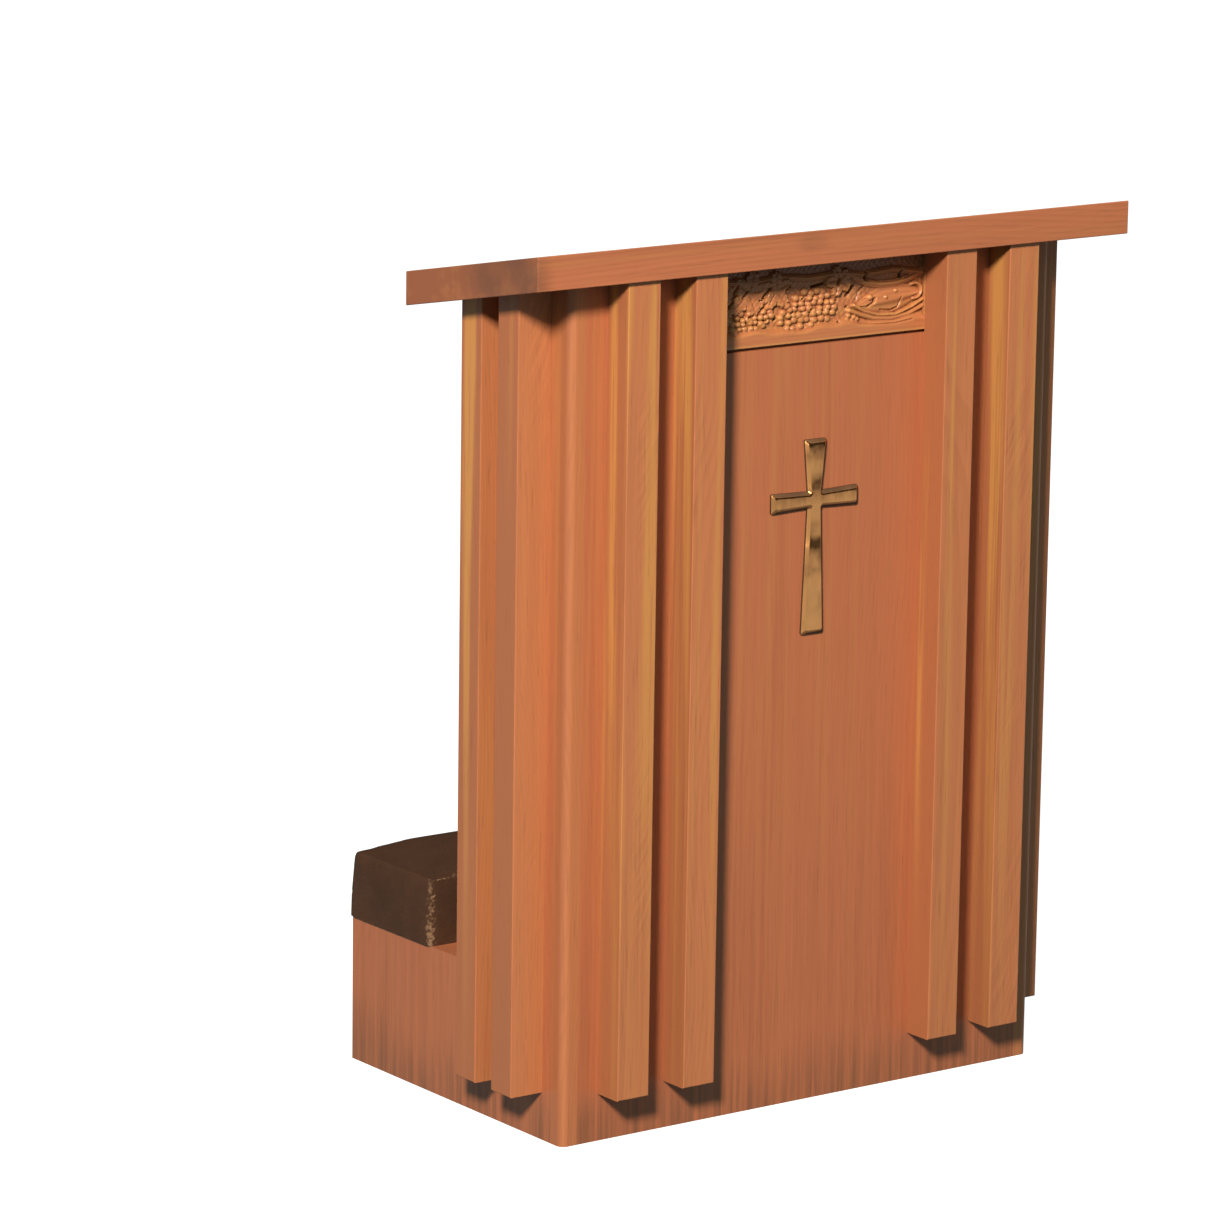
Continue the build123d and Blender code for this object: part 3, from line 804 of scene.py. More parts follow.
class Relief:
    """Height of a carving over a grid, in millimetres above its cut-back ground.

    u runs along the board from its middle, and v up from its bottom edge.
    """

    def __init__(self, u: np.ndarray, v: np.ndarray, ground: np.ndarray) -> None:
        """Start with the bare ground.

        Args:
            u: Place along the board at each grid point.
            v: Place up the board at each grid point.
            ground: Height of the bare ground there.
        """
        self.u = u
        self.v = v
        self.height = ground

    def raise_to(self, shape: np.ndarray) -> None:
        """Join a raised shape on, keeping whichever surface is higher."""
        self.height = np.maximum(self.height, shape)

    def grape(self, u: float, v: float, radius: float, top: float) -> None:
        """A berry: a flat-topped dome, a little wider than it is high.

        Args:
            u: Middle along the board.
            v: Middle up the board.
            radius: Half its height on the board.
            top: How far it stands above the ground.
        """
        q = ((self.u - u) / (radius * 1.12)) ** 2 + ((self.v - v) / radius) ** 2
        self.raise_to(np.where(q < 1, top * np.clip(1 - q, 0, 1) ** 0.42, BURIED))

    def leaf(self, u: float, v: float, size: float, turn: float, lobes: int, top: float, cup: float) -> None:
        """A vine leaf: radius swells towards each lobe, with a groove for the vein down every lobe.

        Args:
            u: Middle along the board.
            v: Middle up the board.
            size: Length of a lobe.
            turn: Direction of the first lobe, in degrees.
            lobes: Number of lobes.
            top: Height of the leaf above the ground.
            cup: How much higher its rim is than its middle.
        """
        x, y = self.u - u, self.v - v
        rho = np.hypot(x, y)
        theta = np.arctan2(y, x) - math.radians(turn)
        lobe = np.abs(np.cos(lobes * theta / 2))
        edge = size * (0.55 + 0.45 * lobe**0.8) * (1 + 0.05 * np.cos(5 * lobes * theta))
        inside = 1 - rho / edge
        off_axis = np.abs(np.sin(lobes * theta / 2)) * 2 / lobes * rho
        vein = 1.3 * np.exp(-((off_axis / 0.9) ** 2)) * np.clip(rho / size * 4, 0, 1)
        ripple = 0.20 * np.cos(rho * 1.3 + 2.0 * np.sin(lobes * theta))
        surface = top + cup * (rho / size - 0.5) + ripple - vein
        rim = np.clip(inside / 0.10, 0, 1) ** 0.5
        self.raise_to(np.where(inside > 0, surface * rim, BURIED))

    def _distance(self, path: np.ndarray) -> np.ndarray:
        """Shortest distance to a line of points.

        Args:
            path: Points of the line, one row each.

        Returns:
            The distance at each grid point.
        """
        nearest = np.full(self.u.shape, 1e9)
        for (u0, v0), (u1, v1) in zip(path[:-1], path[1:]):
            length = (u1 - u0) ** 2 + (v1 - v0) ** 2
            t = np.clip(((self.u - u0) * (u1 - u0) + (self.v - v0) * (v1 - v0)) / length, 0, 1)
            nearest = np.minimum(nearest, np.hypot(self.u - u0 - t * (u1 - u0), self.v - v0 - t * (v1 - v0)))
        return nearest

    def stem(self, path: np.ndarray, half_width: float, top: float, flutes: int = 0) -> None:
        """A rounded stem or ribbon along a line, with fine flutes if asked.

        Args:
            path: Points of its centreline.
            half_width: Half its width.
            top: Height of its crown.
            flutes: Number of grooves across it.
        """
        share = self._distance(path) / half_width
        crown = top * np.sqrt(np.clip(1 - share**2, 0, 1))
        if flutes:
            crown = crown - 0.5 * (1 - np.cos(2 * math.pi * flutes * share)) * (share < 1)
        self.raise_to(np.where(share < 1, crown, BURIED))

    def cut(self, path: np.ndarray, half_width: float, depth: float) -> None:
        """A deep gouge along a line.

        Args:
            path: Points of the cut.
            half_width: How wide it is to half depth.
            depth: How far it goes below the surface.
        """
        self.height = self.height - depth * np.exp(-((self._distance(path) / half_width) ** 2))


def arc(u: float, v: float, radius_u: float, radius_v: float, start: float, end: float) -> np.ndarray:
    """Points of an elliptical arc round (u, v), from one angle in degrees to another."""
    angle = np.radians(np.linspace(start, end, ARC_POINTS))
    return np.stack([u + radius_u * np.cos(angle), v + radius_v * np.sin(angle)], axis=1)


@dataclass
class CarvedFrieze:
    """The carved board over the shadow groove: two bunches of grapes, vine leaves, tendrils and a stem."""

    columns: int = 430
    rows: int = 118
    ground_depth: float = 6.0
    groove_height: float = 3.5
    groove_depth: float = 6.0
    band: float = 13.0
    berry: float = 5.6
    berry_top: float = 5.7
    deepest: float = 13.0
    step: float = 0.1

    def build(self) -> bpy.types.Object:
        """Make the carved board as one closed mesh.

        Returns:
            The piece.
        """
        low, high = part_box("carved_frieze")
        half = high.x / MM
        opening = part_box("front_batten_3")[0].x / MM
        tall = (high.z - low.z) / MM
        shown = np.linspace(-opening, opening, self.columns)
        u_line = np.concatenate([[-half, -opening - self.step], shown, [opening + self.step, half]])
        above = np.linspace(self.groove_height, tall, self.rows)
        v_line = np.concatenate([[0.0, self.groove_height - self.step / 2], above])
        v, u = np.meshgrid(v_line, u_line, indexing="ij")
        depth = self.depth(u, v, opening, tall)

        slope = self.board_slope()
        back = (high.y - low.y) / MM
        front = self.place(u, depth, v * (tall - depth * slope) / tall, low)
        rows, columns = u.shape
        grid = front.reshape(-1, 3)
        ring = self.border(rows, columns)
        behind_v = v.reshape(-1)[ring] * (tall - back * slope) / tall
        rear = self.place(u.reshape(-1)[ring], np.full(len(ring), back), behind_v, low)
        points = np.concatenate([grid, rear])
        count = len(ring)
        here = np.arange(count)
        following = (here + 1) % count
        start = rows * columns
        walls = np.stack([ring[here], start + here, start + following, ring[following]], axis=1)
        faces = [tuple(f) for f in grid_faces(rows, columns).tolist()]
        faces += [tuple(f) for f in walls.tolist()]
        faces.append(tuple(range(start + count - 1, start - 1, -1)))
        piece = mesh_object("vine_frieze", points, faces, 50.0)
        self.add_tones(piece, depth, v, start, count)
        return piece

    @staticmethod
    def place(u: np.ndarray, depth: np.ndarray, v: np.ndarray, low: Vector) -> np.ndarray:
        """Board coordinates in millimetres to points in metres."""
        return np.stack([u * MM, low.y + depth * MM, low.z + v * MM], axis=-1)

    @staticmethod
    def board_slope() -> float:
        """Fall of the book board for each unit of depth, from the desk top mount's axis."""
        axis = next(m["axis"] for m in frame["record"]["mounts"] if m["name"] == "desk_top_rest")
        return axis[1] / axis[2]

    @staticmethod
    def border(rows: int, columns: int) -> np.ndarray:
        """Numbers of the grid's outer points, once round."""
        bottom = np.arange(columns)
        right = np.arange(1, rows) * columns + columns - 1
        top = (rows - 1) * columns + np.arange(columns - 2, -1, -1)
        left = np.arange(rows - 2, 0, -1) * columns
        return np.concatenate([bottom, right, top, left])

    def depth(self, u: np.ndarray, v: np.ndarray, opening: float, tall: float) -> np.ndarray:
        """How far the surface lies behind the board's face.

        Args:
            u: Place along the board.
            v: Place up the board.
            opening: Half the length that shows between the battens.
            tall: Height of the board. Not used.

        Returns:
            Depth in millimetres.
        """
        edge = self.groove_height + self.band + 1.6 * np.sin(u / 17.0) + 0.9 * np.sin(u / 6.3 + 1.0)
        scoop = np.clip((v - edge + 3.0) / 9.0, 0, 1)
        tooling = 0.35 * np.sin(u * 0.9 + 1.7 * np.sin(v * 0.35)) * np.sin(v * 0.7 + 1.3 * np.sin(u * 0.21))
        ground = self.ground_depth * (1 - scoop * scoop * (3 - 2 * scoop)) + tooling * scoop
        relief = Relief(u, v, ground)
        self.carve(relief)
        depth = np.clip(self.ground_depth - relief.height, 0.0, self.deepest)
        depth = np.where(np.abs(u) > opening, 0.0, depth)
        return np.where(v < self.groove_height, self.groove_depth, depth)

    def carve(self, relief: Relief) -> None:
        """Lay the vine out from left to right.

        Args:
            relief: The surface to carve.
        """
        upper = [(-140, 66), (-112, 71), (-78, 69), (-45, 72), (-8, 68), (30, 70), (62, 66), (100, 69)]
        upper.append((140, 62))
        relief.stem(np.array(upper), 3.6, 4.4, 1)
        relief.leaf(-120, 50, 24, 200, 5, 3.6, 1.2)
        relief.leaf(-84, 58, 25, 75, 5, 3.8, 1.4)
        relief.leaf(-50, 58, 21, 20, 5, 4.0, 1.2)
        relief.leaf(30, 62, 17, 110, 5, 3.8, 1.2)
        self.trailing_leaf(relief)
        self.bunch(relief, -84, 33, [4, 6, 8, 9, 8, 7, 4], 0.14, 0.60)
        self.bunch(relief, -8, 36, [4, 6, 8, 9, 9, 8, 6], 0.14, 0.66)
        self.bunch(relief, 47, 22, [2, 3], -0.1, 0.5)
        for path, half_width, depth in self.gouges():
            relief.cut(np.asarray(path), half_width, depth)

    def bunch(self, relief: Relief, u: float, v: float, counts: list[int], lean: float, size: float) -> None:
        """A bunch of grapes in staggered rows, each a little out of place.

        Args:
            relief: The surface to carve.
            u: Middle along the board.
            v: Middle up the board.
            counts: Grapes in each row, from the top.
            lean: How far the rows shift sideways as they go up.
            size: Scale of the grapes.
        """
        jitter = np.random.default_rng(int(1000 + 7 * u + v))
        pitch_u = self.berry * 2.2 * size
        pitch_v = self.berry * 1.55 * size
        for level, count in enumerate(counts):
            up = ((len(counts) - 1) / 2 - level) * pitch_v
            for index in range(count):
                along = (index - (count - 1) / 2) * pitch_u + lean * up * 3
                shift = jitter.normal(0, 1.45 * size, 2)
                radius = self.berry * size * jitter.uniform(0.84, 1.12)
                top = self.berry_top * jitter.uniform(0.66, 0.98) * (0.6 + 0.4 * size)
                relief.grape(u + along + shift[0], v + up + shift[1], radius, top)

    @staticmethod
    def trailing_leaf(relief: Relief) -> None:
        """The long low leaf on the right: a fluted lens, three seeds, and ribbons under and over it.

        Args:
            relief: The surface to carve.
        """
        x, y = (relief.u - 96) / 44, (relief.v - 38 - 0.10 * (relief.u - 96)) / 15
        lens = np.clip(1 - x * x, 1e-3, 1)
        dome = 3.6 * np.sqrt(np.clip(1 - (y / lens) ** 2, 0, 1)) * lens**0.4
        flute = 0.55 * np.cos(5.5 * y / lens) + 0.30 * np.cos(11 * y / lens + 1)
        relief.raise_to(np.where(dome > 0, dome + flute * np.clip(dome, 0, 1), BURIED))
        relief.grape(70, 41.5, 3.6, 5.6)
        relief.grape(90, 40, 3.0, 5.4)
        relief.grape(103, 46, 2.4, 4.8)
        lower = [(44, 30), (58, 25), (76, 19.5), (98, 17.5), (120, 20.5), (140, 28)]
        middle = [(50, 35), (64, 27.5), (82, 22.5), (104, 21.5), (124, 27.5), (140, 35)]
        brow = [(52, 64), (66, 57.5), (84, 54), (104, 54), (122, 58), (140, 66)]
        relief.stem(np.array(lower), 2.8, 4.2)
        relief.stem(np.array(middle), 2.3, 4.4)
        relief.stem(np.array(brow), 4.2, 4.2, 1)
        relief.stem(arc(128, 44, 9, 8, -100, 120), 2.0, 4.2)

    @staticmethod
    def gouges() -> list[tuple[object, float, float]]:
        """Deep dark cuts between the leaves and beside the bunches: path, half width and depth."""
        return [
            ([(-121, 39), (-116, 42)], 1.8, 5.0),
            ([(-110, 45), (-104, 52)], 1.2, 5.0),
            ([(-104, 58), (-99, 66)], 1.3, 5.0),
            ([(-92, 54), (-86, 60)], 1.2, 5.0),
            ([(-70, 39), (-62, 46)], 1.3, 5.0),
            ([(-67, 52), (-57, 61)], 1.6, 6.0),
            ([(-130, 13.5), (-122, 17.5), (-112, 20)], 1.1, 3.6),
            ([(-37, 57), (-31, 62)], 1.4, 5.0),
            ([(-3, 58.5), (12, 61)], 1.2, 4.5),
            ([(29, 59), (31, 63)], 1.7, 5.5),
            ([(42, 46), (50, 55)], 1.4, 5.5),
            ([(68, 33), (74, 35.5), (77, 40)], 1.2, 3.6),
            ([(64, 61), (65, 67)], 2.0, 6.0),
            ([(110, 60), (111, 66)], 1.7, 5.5),
            ([(84, 27.5), (98, 26), (107, 29), (110, 38)], 0.9, 2.2),
            (arc(98, 62, 24, 6, 200, 340), 0.8, 1.3),
            ([(54, 41), (57, 49), (64, 54)], 0.9, 2.0),
            ([(-18, 47), (-16, 47.5)], 0.9, 4.5),
            ([(-23, 39.5), (-21, 40)], 0.9, 4.5),
            ([(-6, 35), (-4, 35.5)], 0.9, 4.5),
            ([(11, 43), (13, 43.5)], 0.9, 4.5),
            ([(27, 41), (29, 41.5)], 0.9, 4.5),
            ([(10, 33), (12, 33)], 0.8, 4.0),
            ([(29, 19), (31, 19.5)], 0.8, 3.5),
            ([(41, 34), (43, 34.5)], 0.9, 4.0),
            ([(-64, 28), (-62, 29)], 1.0, 4.5),
            ([(-52, 41), (-49, 43)], 1.0, 4.5),
            ([(-51, 28), (-49, 29.5)], 0.9, 4.5),
            ([(-84, 33), (-82, 34)], 1.0, 4.5),
            ([(55, 16.5), (76, 13.5), (100, 12.5), (124, 15)], 0.8, 1.4),
        ]

    def add_tones(
        self, piece: bpy.types.Object, depth: np.ndarray, v: np.ndarray, start: int, count: int
    ) -> None:
        """Store where the carving is darker, in the cuts and as painted shade in the groove and under the
        book board, and where the crests are lighter.

        Args:
            piece: The carved board.
            depth: Depth over the grid.
            v: Place up the board over the grid.
            start: Number of the first point behind the grid.
            count: Points behind the grid.
        """
        smooth = depth.copy()
        for axis in (0, 1):
            kernel = np.ones(9) / 9
            smooth = np.apply_along_axis(lambda line: np.convolve(line, kernel, mode="same"), axis, smooth)
        # Darker in the cuts.
        local = np.clip((depth - smooth) / 2.2, 0, 1)
        deep = np.clip((depth - self.ground_depth - 0.4) / 3.0, 0, 1)
        dark = np.clip(0.55 * local + 0.8 * deep, 0, 1) * (v > self.groove_height)
        # Painted shadow of the book board over the top 17 mm.
        dark = np.maximum(dark, 0.62 * np.clip((v - v.max() + 17.0) / 9.0, 0, 1))
        # Painted shade in the groove.
        dark = np.where(v < self.groove_height, 0.9, dark)
        crest = np.clip((smooth - depth) / 1.2, 0, 1)
        spare = np.zeros(count)
        add_attribute(piece, "depth", np.concatenate([dark.reshape(-1)[:start], spare]))
        add_attribute(piece, "crest", np.concatenate([crest.reshape(-1)[:start], spare]))


# ------------------------------------------------------------------------------------------------- cross


@dataclass
class BrassCross:
    """Cast cross with flared arms: its rounded and bevelled edge is a profile carried round the outline."""

    waist: float = 9.0
    end: float = 14.2
    bar: float = 9.0
    bar_end: float = 10.5
    bar_drop: float = 62.5
    bevel: float = 2.2
    wall: float = 1.9
    rounding: float = 0.9
    corner: float = 2.0
    inner_corner: float = 0.6
    arc_points: int = 9

    def outline(self, low: Vector, high: Vector) -> np.ndarray:
        """Corners of the cross, anticlockwise seen from the front.

        Args:
            low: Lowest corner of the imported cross.
            high: Its highest corner.

        Returns:
            X and Z of each corner, in metres.
        """
        reach = high.x / MM
        middle = high.z / MM - self.bar_drop
        right = [
            (self.end, low.z / MM),
            (self.waist, middle - self.bar),
            (reach, middle - self.bar_end),
            (reach, middle + self.bar_end),
            (self.waist, middle + self.bar),
            (self.end, high.z / MM),
        ]
        left = [(-x, z) for x, z in reversed(right)]
        return np.array(right + left) * MM

    def profile(self, thickness: float) -> np.ndarray:
        """Edge profile: a wall, a small rounding, a 45 degree slope and an arc to the face.

        Args:
            thickness: Thickness of the cross.

        Returns:
            Inset and height of each ring, in metres.
        """
        half = math.radians(45)
        turn = np.linspace(0, half, 6)
        soft = self.rounding * np.stack([1 - np.cos(turn), np.sin(turn)], axis=1)
        rounding = np.array([0.0, self.wall]) + soft
        slope = rounding[-1] + self.bevel * np.linspace(0, 1, 5)[1:, None]
        radius = (thickness / MM - slope[-1, 1]) / (1 - math.cos(half))
        bend = np.linspace(half, 0, 9)[1:]
        sweep = np.stack([math.sin(half) - np.sin(bend), np.cos(bend) - math.cos(half)], axis=1)
        dome = slope[-1] + radius * sweep
        return np.concatenate([[(0.0, 0.0)], rounding, slope, dome]) * MM

    def rounded(self, corners: np.ndarray, inset: float) -> np.ndarray:
        """Inset the outline, then round each corner: a circle's arc between two points the same way from it.

        The radius grows inwards, so that the corners stay crisp next to the wood and soften towards the face.

        Args:
            corners: X and Z of each corner.
            inset: How far in to go.

        Returns:
            X and Z of each point.
        """
        ahead = np.roll(corners, -1, axis=0) - corners
        ahead /= np.linalg.norm(ahead, axis=1, keepdims=True)
        behind = np.roll(ahead, 1, axis=0)
        inward = np.stack([-ahead[:, 1], ahead[:, 0]], axis=1)
        before = np.roll(inward, 1, axis=0)
        flat = corners + (inward + before) / (1 + (inward * before).sum(axis=1, keepdims=True)) * inset
        bend = behind[:, 0] * ahead[:, 1] - behind[:, 1] * ahead[:, 0]
        outer = self.corner * MM + 0.30 * inset
        inner = self.inner_corner * MM + 0.8 * inset
        radius = np.where(bend > 0, outer, inner)
        angle = np.arccos(np.clip((behind * ahead).sum(axis=1), -1, 1))
        tangent = radius * np.tan(angle / 2)
        start = flat - behind * tangent[:, None]
        share = np.linspace(-0.5, 0.5, self.arc_points)[None, :]
        side = np.sign(bend)[:, None] * np.stack([-behind[:, 1], behind[:, 0]], axis=1)
        centre = start + side * radius[:, None]
        swing = (share + 0.5) * angle[:, None]
        arm = -side[:, None] * np.cos(swing)[..., None] + behind[:, None] * np.sin(swing)[..., None]
        return (centre[:, None] + arm * radius[:, None, None]).reshape(-1, 2)

    def build(self) -> bpy.types.Object:
        """Make the cross.

        Returns:
            The piece.
        """
        low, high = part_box("brass_cross")
        corners = self.outline(low, high)
        profile = self.profile(high.y - low.y)
        rings = []
        for inset, height in profile:
            flat = self.rounded(corners, inset)
            rings.append(np.stack([flat[:, 0], np.full(len(flat), high.y - height), flat[:, 1]], axis=1))
        count = len(rings[0])
        faces = [tuple(f) for f in grid_faces(len(rings), count, closed=True).tolist()]
        faces.append(tuple(range(count - 1, -1, -1)))
        faces.append(tuple(range(count * (len(rings) - 1), count * len(rings))))
        piece = mesh_object("bevelled_cross", np.concatenate(rings), faces, 28.0)
        # Grime on the walls next to the wood.
        grime = np.clip(1 - (profile[:, 0] / MM - 0.05 * self.rounding) / (0.30 * self.rounding), 0, 1)
        normals = KneelerPad.normals(piece)
        # Painted shade on bevels that face right and down, away from the light, and a painted dark reflection
        # on bevels that face up.
        shaded = np.clip((normals[:, 0] * 0.75 - normals[:, 2] * 0.65 - 0.25) / 0.20, 0, 1)
        shaded = np.maximum(shaded, 0.85 * np.clip((normals[:, 2] + 0.3 * normals[:, 0] - 0.45) / 0.20, 0, 1))
        add_attribute(piece, "grime", np.maximum(np.repeat(grime, count), shaded))
        tilt = -normals[:, 1]
        add_attribute(piece, "edge", np.clip((0.93 - tilt) / 0.15, 0, 1) * np.clip((tilt - 0.2) / 0.3, 0, 1))
        return piece


# --------------------------------------------------------------------------------------------------- pad


@dataclass
class KneelerPad:
    """Foam pad in a sewn hide cover: a cloth blown up over a tapered, crowned block, then its seams."""

    voxel: float = 0.0045
    pressure: float = 4.0
    frames: int = 20
    cap: float = 0.005
    spread: float = 0.0026
    turn: float = 0.004
    lean: float = 0.0020
    rim: float = 0.0045
    crown: float = 0.0025
    proud: float = 0.0136
    drop: float = 0.0088
    drop_reach: float = 0.042
    spare: float = 0.012
    welt: float = 0.0010
    # How far the wear and the painted highlight reach from each front corner.
    worn_and_sheen_reach: float = 0.0060
    side_room: float = 0.004
    front_room: float = 0.006
    back_room: float = 0.002

    def block(self, low: Vector, high: Vector) -> bpy.types.Object:
        """The unblown block: a rounded oblong carried up a leaning side and in over a crowned top.

        The outline is four quarter circles of radius turn, joined by straight runs. Each ring is the outline
        less an inset, and past the rim it is the last ring shrunk towards the middle, raised by crown times
        (1 - share squared). Corners sink by drop.

        Args:
            low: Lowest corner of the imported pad.
            high: Its highest corner.

        Returns:
            A closed, rounded block.
        """
        angle = np.linspace(0, math.pi / 2, 8)[None, :] + np.arange(4)[:, None] * math.pi / 2
        quarter = np.stack([np.cos(angle), np.sin(angle)], axis=-1).reshape(-1, 2)
        corner_sign = np.repeat(np.array([(1, 1), (-1, 1), (-1, -1), (1, -1)]), 8, axis=0)
        middle = np.array((low + high) / 2)
        half = np.array((high - low) / 2)
        tall = high.z - low.z + self.proud - self.crown

        side = np.linspace(0, 1, 16)
        bend = np.radians(np.linspace(0, 90, 7)[1:])
        round_rim = self.lean + self.rim * (1 - np.cos(bend))
        inset = np.concatenate([self.lean * side**1.5, round_rim]) - self.spread
        level = np.concatenate([(tall - self.rim) * side, tall - self.rim * (1 - np.sin(bend))])
        share = np.concatenate([np.ones(len(level)), np.linspace(1, 0, 24)[1:]])
        inset = np.pad(inset, (0, len(share) - len(inset)), mode="edge")
        level = np.pad(level, (0, len(share) - len(level)), mode="edge") + self.crown * (1 - share**2)

        reach = (half[:2] - inset[:, None] - self.turn)[:, None]
        rings = (corner_sign[None] * reach + quarter[None] * self.turn) * share[:, None, None]
        away = np.linalg.norm(np.maximum(half[:2] - np.abs(rings), 0), axis=-1)
        corner = np.exp(-((away / self.drop_reach) ** 2))
        risen = (level / tall)[:, None]
        z = low.z + level[:, None] - self.spare * (1 - risen) - self.drop * corner * risen**2
        points = np.concatenate([middle[:2] + rings, z[..., None]], axis=-1)
        count = len(quarter)
        points = np.concatenate([points[:-1].reshape(-1, 3), points[-1, :1]])
        faces = [tuple(f) for f in grid_faces(len(share) - 1, count, closed=True).tolist()]
        last = count * (len(share) - 2)
        faces += [(last + i, last + (i + 1) % count, len(points) - 1) for i in range(count)]
        faces.append(tuple(range(count - 1, -1, -1)))
        return mesh_object("kneeling_cushion", points, faces, 60.0)

    def build(self) -> bpy.types.Object:
        """Make the pad.

        Returns:
            The piece.
        """
        low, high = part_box("kneeler_pad")
        pad = self.block(low, high)
        self.remesh(pad)
        self.blow_up(pad, low)
        self.smooth_and_divide(pad)
        self.sew(pad, low, high)
        self.trim(pad, low)
        return pad

    def remesh(self, pad: bpy.types.Object) -> None:
        """Even out the block's mesh for the cloth."""
        remesh = pad.modifiers.new("even", "REMESH")
        remesh.mode = "VOXEL"
        remesh.voxel_size = self.voxel
        self.apply(pad)

    @staticmethod
    def apply(pad: bpy.types.Object) -> None:
        """Turn a piece's modifiers into its mesh."""
        depsgraph = bpy.context.evaluated_depsgraph_get()
        depsgraph.update()
        mesh = bpy.data.meshes.new_from_object(pad.evaluated_get(depsgraph))
        pad.modifiers.clear()
        pad.data = mesh

    def blow_up(self, pad: bpy.types.Object, low: Vector) -> None:
        """Blow the cover up with cloth, held along its bottom, and cap how far a point may go.

        Args:
            pad: The block.
            low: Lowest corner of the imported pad.
        """
        rest = self.points(pad)
        held = pad.vertex_groups.new(name="held")
        seams = self.seam_share(pad)
        fixed = (rest[:, 2] < low.z + self.voxel) | (seams.max(axis=0) > 0.35)
        held.add(np.flatnonzero(fixed).tolist(), 1.0, "REPLACE")
        cloth = pad.modifiers.new("cover", "CLOTH")
        settings = cloth.settings
        settings.quality = 6
        settings.mass = 0.4
        settings.tension_stiffness = 25
        settings.compression_stiffness = 25
        settings.bending_stiffness = 1.2
        settings.use_pressure = True
        settings.uniform_pressure_force = self.pressure
        settings.vertex_group_mass = "held"
        settings.effector_weights.gravity = 0.0
        cloth.point_cache.frame_start = 1
        cloth.point_cache.frame_end = self.frames
        scene = bpy.context.scene
        for number in range(1, self.frames + 1):
            scene.frame_set(number)
        self.apply(pad)
        scene.frame_set(1)
        moved = self.points(pad) - rest
        far = np.linalg.norm(moved, axis=1, keepdims=True)
        moved *= np.minimum(1.0, self.cap / np.maximum(far, 1e-9))
        self.put_points(pad, rest + moved)
        pad.vertex_groups.clear()

    @staticmethod
    def points(piece: bpy.types.Object) -> np.ndarray:
        """A mesh's points as an array."""
        flat = np.zeros(len(piece.data.vertices) * 3)
        piece.data.vertices.foreach_get("co", flat)
        return flat.reshape(-1, 3)

    @staticmethod
    def normals(piece: bpy.types.Object) -> np.ndarray:
        """A mesh's vertex normals as an array."""
        flat = np.zeros(len(piece.data.vertices) * 3)
        piece.data.vertices.foreach_get("normal", flat)
        return flat.reshape(-1, 3)

    def seam_share(self, pad: bpy.types.Object) -> np.ndarray:
        """How near each point is to a sewn edge, told from which way the cover turns there.

        Args:
            pad: The cover.

        Returns:
            Two rows from 0 to 1: for the four upright edges, and for the rim round the top.
        """
        x, y, z = self.normals(pad).T
        level = np.hypot(x, y)
        upright = 1 - np.clip(np.abs(np.abs(x) - np.abs(y)) / 0.5, 0, 1)
        rim = 1 - np.clip(np.abs(z - level) / 0.6, 0, 1)
        return np.stack([upright * (z < 0.7) * (level > 0.6), rim * (z > 0.1)])

    @staticmethod
    def put_points(piece: bpy.types.Object, points: np.ndarray) -> None:
        """Move a mesh's points."""
        piece.data.vertices.foreach_set("co", points.reshape(-1))
        piece.data.update()

    def smooth_and_divide(self, pad: bpy.types.Object) -> None:
        """One subdivision, which also softens the voxels' steps."""
        soften = pad.modifiers.new("soften", "SMOOTH")
        soften.factor = 0.5
        soften.iterations = 2
        divide = pad.modifiers.new("divide", "SUBSURF")
        divide.levels = 1
        divide.render_levels = 1
        self.apply(pad)

    @staticmethod
    def trim(pad: bpy.types.Object, low: Vector) -> None:
        """Cut the spare cover off level with the kneeler's top and close it with one flat face.

        Args:
            pad: The sewn cover.
            low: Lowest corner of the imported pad.
        """
        work = bmesh.new()
        work.from_mesh(pad.data)
        everything = [*work.verts, *work.edges, *work.faces]
        plane = {"plane_co": (0, 0, low.z), "plane_no": (0, 0, -1)}
        bmesh.ops.bisect_plane(work, geom=everything, clear_outer=True, **plane)
        rim = [edge for edge in work.edges if edge.is_boundary]
        bmesh.ops.holes_fill(work, edges=rim, sides=0)
        bmesh.ops.recalc_face_normals(work, faces=work.faces)
        work.to_mesh(pad.data)
        work.free()
        pad.data.polygons.foreach_set("use_smooth", np.ones(len(pad.data.polygons), dtype=bool))
        pad.data.set_sharp_from_angle(angle=math.radians(50))

    def sew(self, pad: bpy.types.Object, low: Vector, high: Vector) -> None:
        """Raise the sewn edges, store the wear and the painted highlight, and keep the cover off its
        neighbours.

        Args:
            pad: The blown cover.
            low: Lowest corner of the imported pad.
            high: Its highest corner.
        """
        upright, rim = self.seam_share(pad)
        normals = self.normals(pad)
        seam = np.clip(upright + rim, 0, 1)
        points = self.points(pad) + normals * (self.welt * seam[:, None])
        side_away = high.x - np.abs(points[:, 0])
        front_away = points[:, 1] - low.y
        # Lighter along the top rim, most at the front, and at the front corners: wear, and a painted
        # highlight on the edges that face the light.
        front = np.clip((normals[:, 1] * -1 - 0.2) / 0.2, 0, 1)
        corner_wear_and_sheen = np.exp(-(np.hypot(side_away, front_away) / self.worn_and_sheen_reach) ** 2)
        add_attribute(pad, "wear", np.clip(corner_wear_and_sheen * 0.9 + rim * (0.12 + 0.88 * front), 0, 1))
        points[:, 0] = np.clip(points[:, 0], low.x - self.side_room, high.x + self.side_room)
        points[:, 1] = np.clip(points[:, 1], low.y - self.front_room, high.y + self.back_room)
        self.put_points(pad, points)


# ------------------------------------------------------------------------------------------------ studio


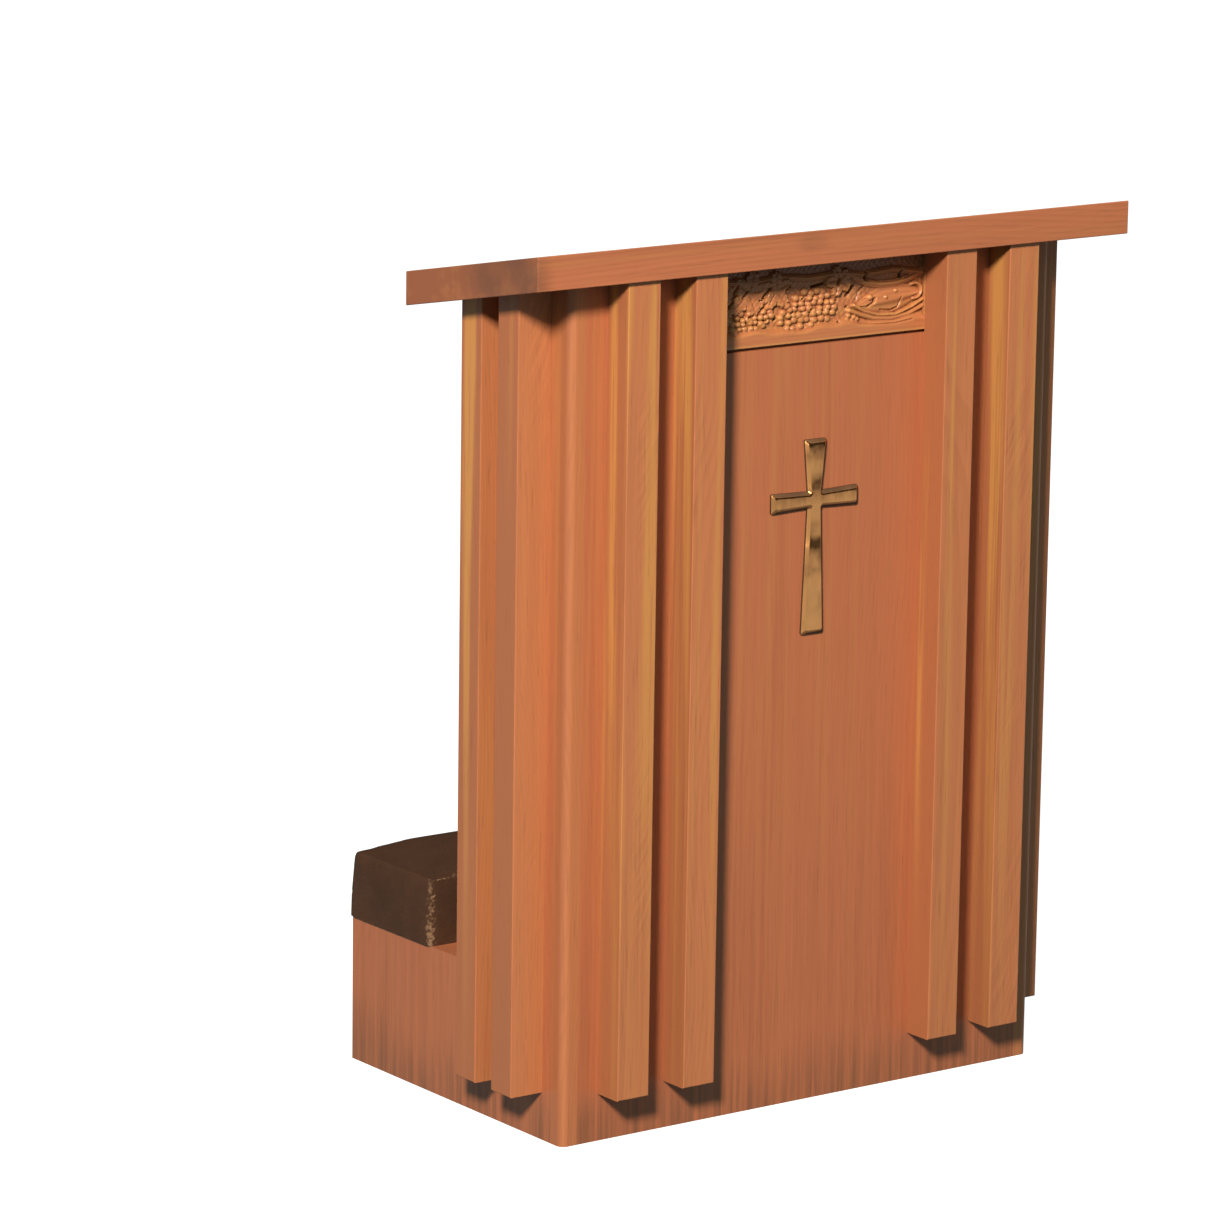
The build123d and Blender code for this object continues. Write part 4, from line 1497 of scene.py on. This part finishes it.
@dataclass
class Studio:
    """Pale floor, one large soft key light from the left front, even fill, and the camera."""

    camera_place: Colour = (-3.6187, -4.7834, 1.7835)
    azimuth: float = 36.08
    fall: float = 12.17
    roll: float = -0.80
    lens: float = 174.43
    key_place: Colour = (-4.54, -4.09, 4.12)
    key_size: float = 1.0
    key_power: float = 815.0
    key_colour: Colour = (1.0, 0.90, 0.81)
    fill: float = 0.27
    fill_colour: Colour = (0.80, 1.16, 1.22)
    fill_below: float = 0.35
    floor_half: float = 30.0
    room: tuple[tuple[float, float], ...] = (
        (0.0, 0.15),
        (0.22, 0.25),
        (0.33, 0.60),
        (0.42, 0.52),
        (0.49, 0.05),
        (0.60, 0.04),
        (1.0, 0.12),
    )

    def build(self) -> None:
        """Set the whole studio up."""
        self.floor()
        self.key()
        self.sky()
        self.camera()
        bpy.context.scene.view_settings.view_transform = "Standard"

    def floor(self) -> None:
        """A large floor, bright enough to be white, which doesn't throw light back up."""
        size = self.floor_half
        points = np.array([(-size, -size, 0.0), (size, -size, 0.0), (size, size, 0.0), (-size, size, 0.0)])
        floor = mesh_object("studio_floor", points, [(0, 1, 2, 3)], 30.0)
        graph = ShaderGraph("pale_floor")
        shine = {"Emission_Color": (1.0, 1.0, 0.995), "Emission_Strength": 1.0}
        dress(floor, graph.set(Base_Color=(0.30, 0.30, 0.30), Roughness=0.9, Specular_IOR_Level=0.1, **shine))
        floor.visible_diffuse = False
        floor.visible_glossy = False

    def key(self) -> None:
        """One large round lamp, aimed at the middle of the desk."""
        lamp = bpy.data.lights.new("key", "AREA")
        lamp.shape = "DISK"
        lamp.size = self.key_size
        lamp.energy = self.key_power
        lamp.color = self.key_colour
        holder = bpy.data.objects.new("key", lamp)
        bpy.context.scene.collection.objects.link(holder)
        holder.location = self.key_place
        low, high = CAD_BOX
        middle = (Vector(low) + Vector(high)) / 2
        holder.rotation_euler = (holder.location - middle).to_track_quat("Z", "Y").to_euler()

    def sky(self) -> None:
        """Even fill, dimmer from below. Polished metal sees the room instead: grey by height."""
        world = bpy.data.worlds.new("studio")
        bpy.context.scene.world = world
        world.use_nodes = True
        graph = NodeGraph(world.node_tree)
        up = graph.parts(graph.node("ShaderNodeTexCoord", output="Generated"))[2]
        level = graph.node("ShaderNodeMapRange", None, {0: up, 1: -1.0})
        stops = [(at, (grey, grey, grey)) for at, grey in self.room]
        seen = graph.node("ShaderNodeValToRGB", {"stops": stops}, {0: level})
        spread = {0: up, 1: -0.45, 2: 0.15, 3: self.fill * self.fill_below, 4: self.fill}
        strength = graph.node("ShaderNodeMapRange", None, spread)
        tint = {0: self.fill_colour, "Scale": strength}
        lit = graph.node("ShaderNodeVectorMath", {"operation": "SCALE"}, tint)
        glossy = graph.node("ShaderNodeLightPath", output="Is Glossy Ray")
        background = world.node_tree.nodes["Background"]
        graph.tree.links.new(graph.mix(glossy, lit, seen).socket, background.inputs[0])
        background.inputs[1].default_value = 1.0

    def camera(self) -> None:
        """A long lens, looking down over the front left corner."""
        azimuth, fall, roll = (math.radians(a) for a in (self.azimuth, self.fall, self.roll))
        level = math.cos(fall)
        ahead = Vector((math.sin(azimuth) * level, math.cos(azimuth) * level, -math.sin(fall)))
        right = Vector((math.cos(azimuth), -math.sin(azimuth), 0.0))
        down = ahead.cross(right)
        turned_right = right * math.cos(roll) + down * math.sin(roll)
        turned_down = down * math.cos(roll) - right * math.sin(roll)
        data = bpy.data.cameras.new("camera")
        data.lens = self.lens
        data.sensor_width = 36.0
        data.clip_end = 200.0
        holder = bpy.data.objects.new("camera", data)
        bpy.context.scene.collection.objects.link(holder)
        axes = Matrix((turned_right, -turned_down, -ahead)).transposed().to_4x4()
        holder.matrix_world = Matrix.Translation(self.camera_place) @ axes
        bpy.context.scene.camera = holder


def main() -> None:
    """Build every piece in order, and report each."""
    logging.basicConfig(level=logging.INFO, format="%(name)s: %(message)s")
    Joinery().dress_all()

    frieze = CarvedFrieze().build()
    dress(frieze, CARVED.material(Grain.ACROSS, 2))
    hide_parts("carved_frieze")
    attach(frieze, BODY)
    LOG.info("frieze carved: %d points", len(frieze.data.vertices))

    cross = BrassCross().build()
    dress(cross, BrassFinish().material(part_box("brass_cross")[1].z))
    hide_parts("brass_cross")
    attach(cross, BODY)
    LOG.info("cross cast: %d points", len(cross.data.vertices))

    pad = KneelerPad().build()
    dress(pad, LeatherFinish().material())
    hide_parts("kneeler_pad")
    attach(pad, BODY)
    LOG.info("pad covered: %d points", len(pad.data.vertices))

    Studio().build()


if __name__ == "__main__":
    main()
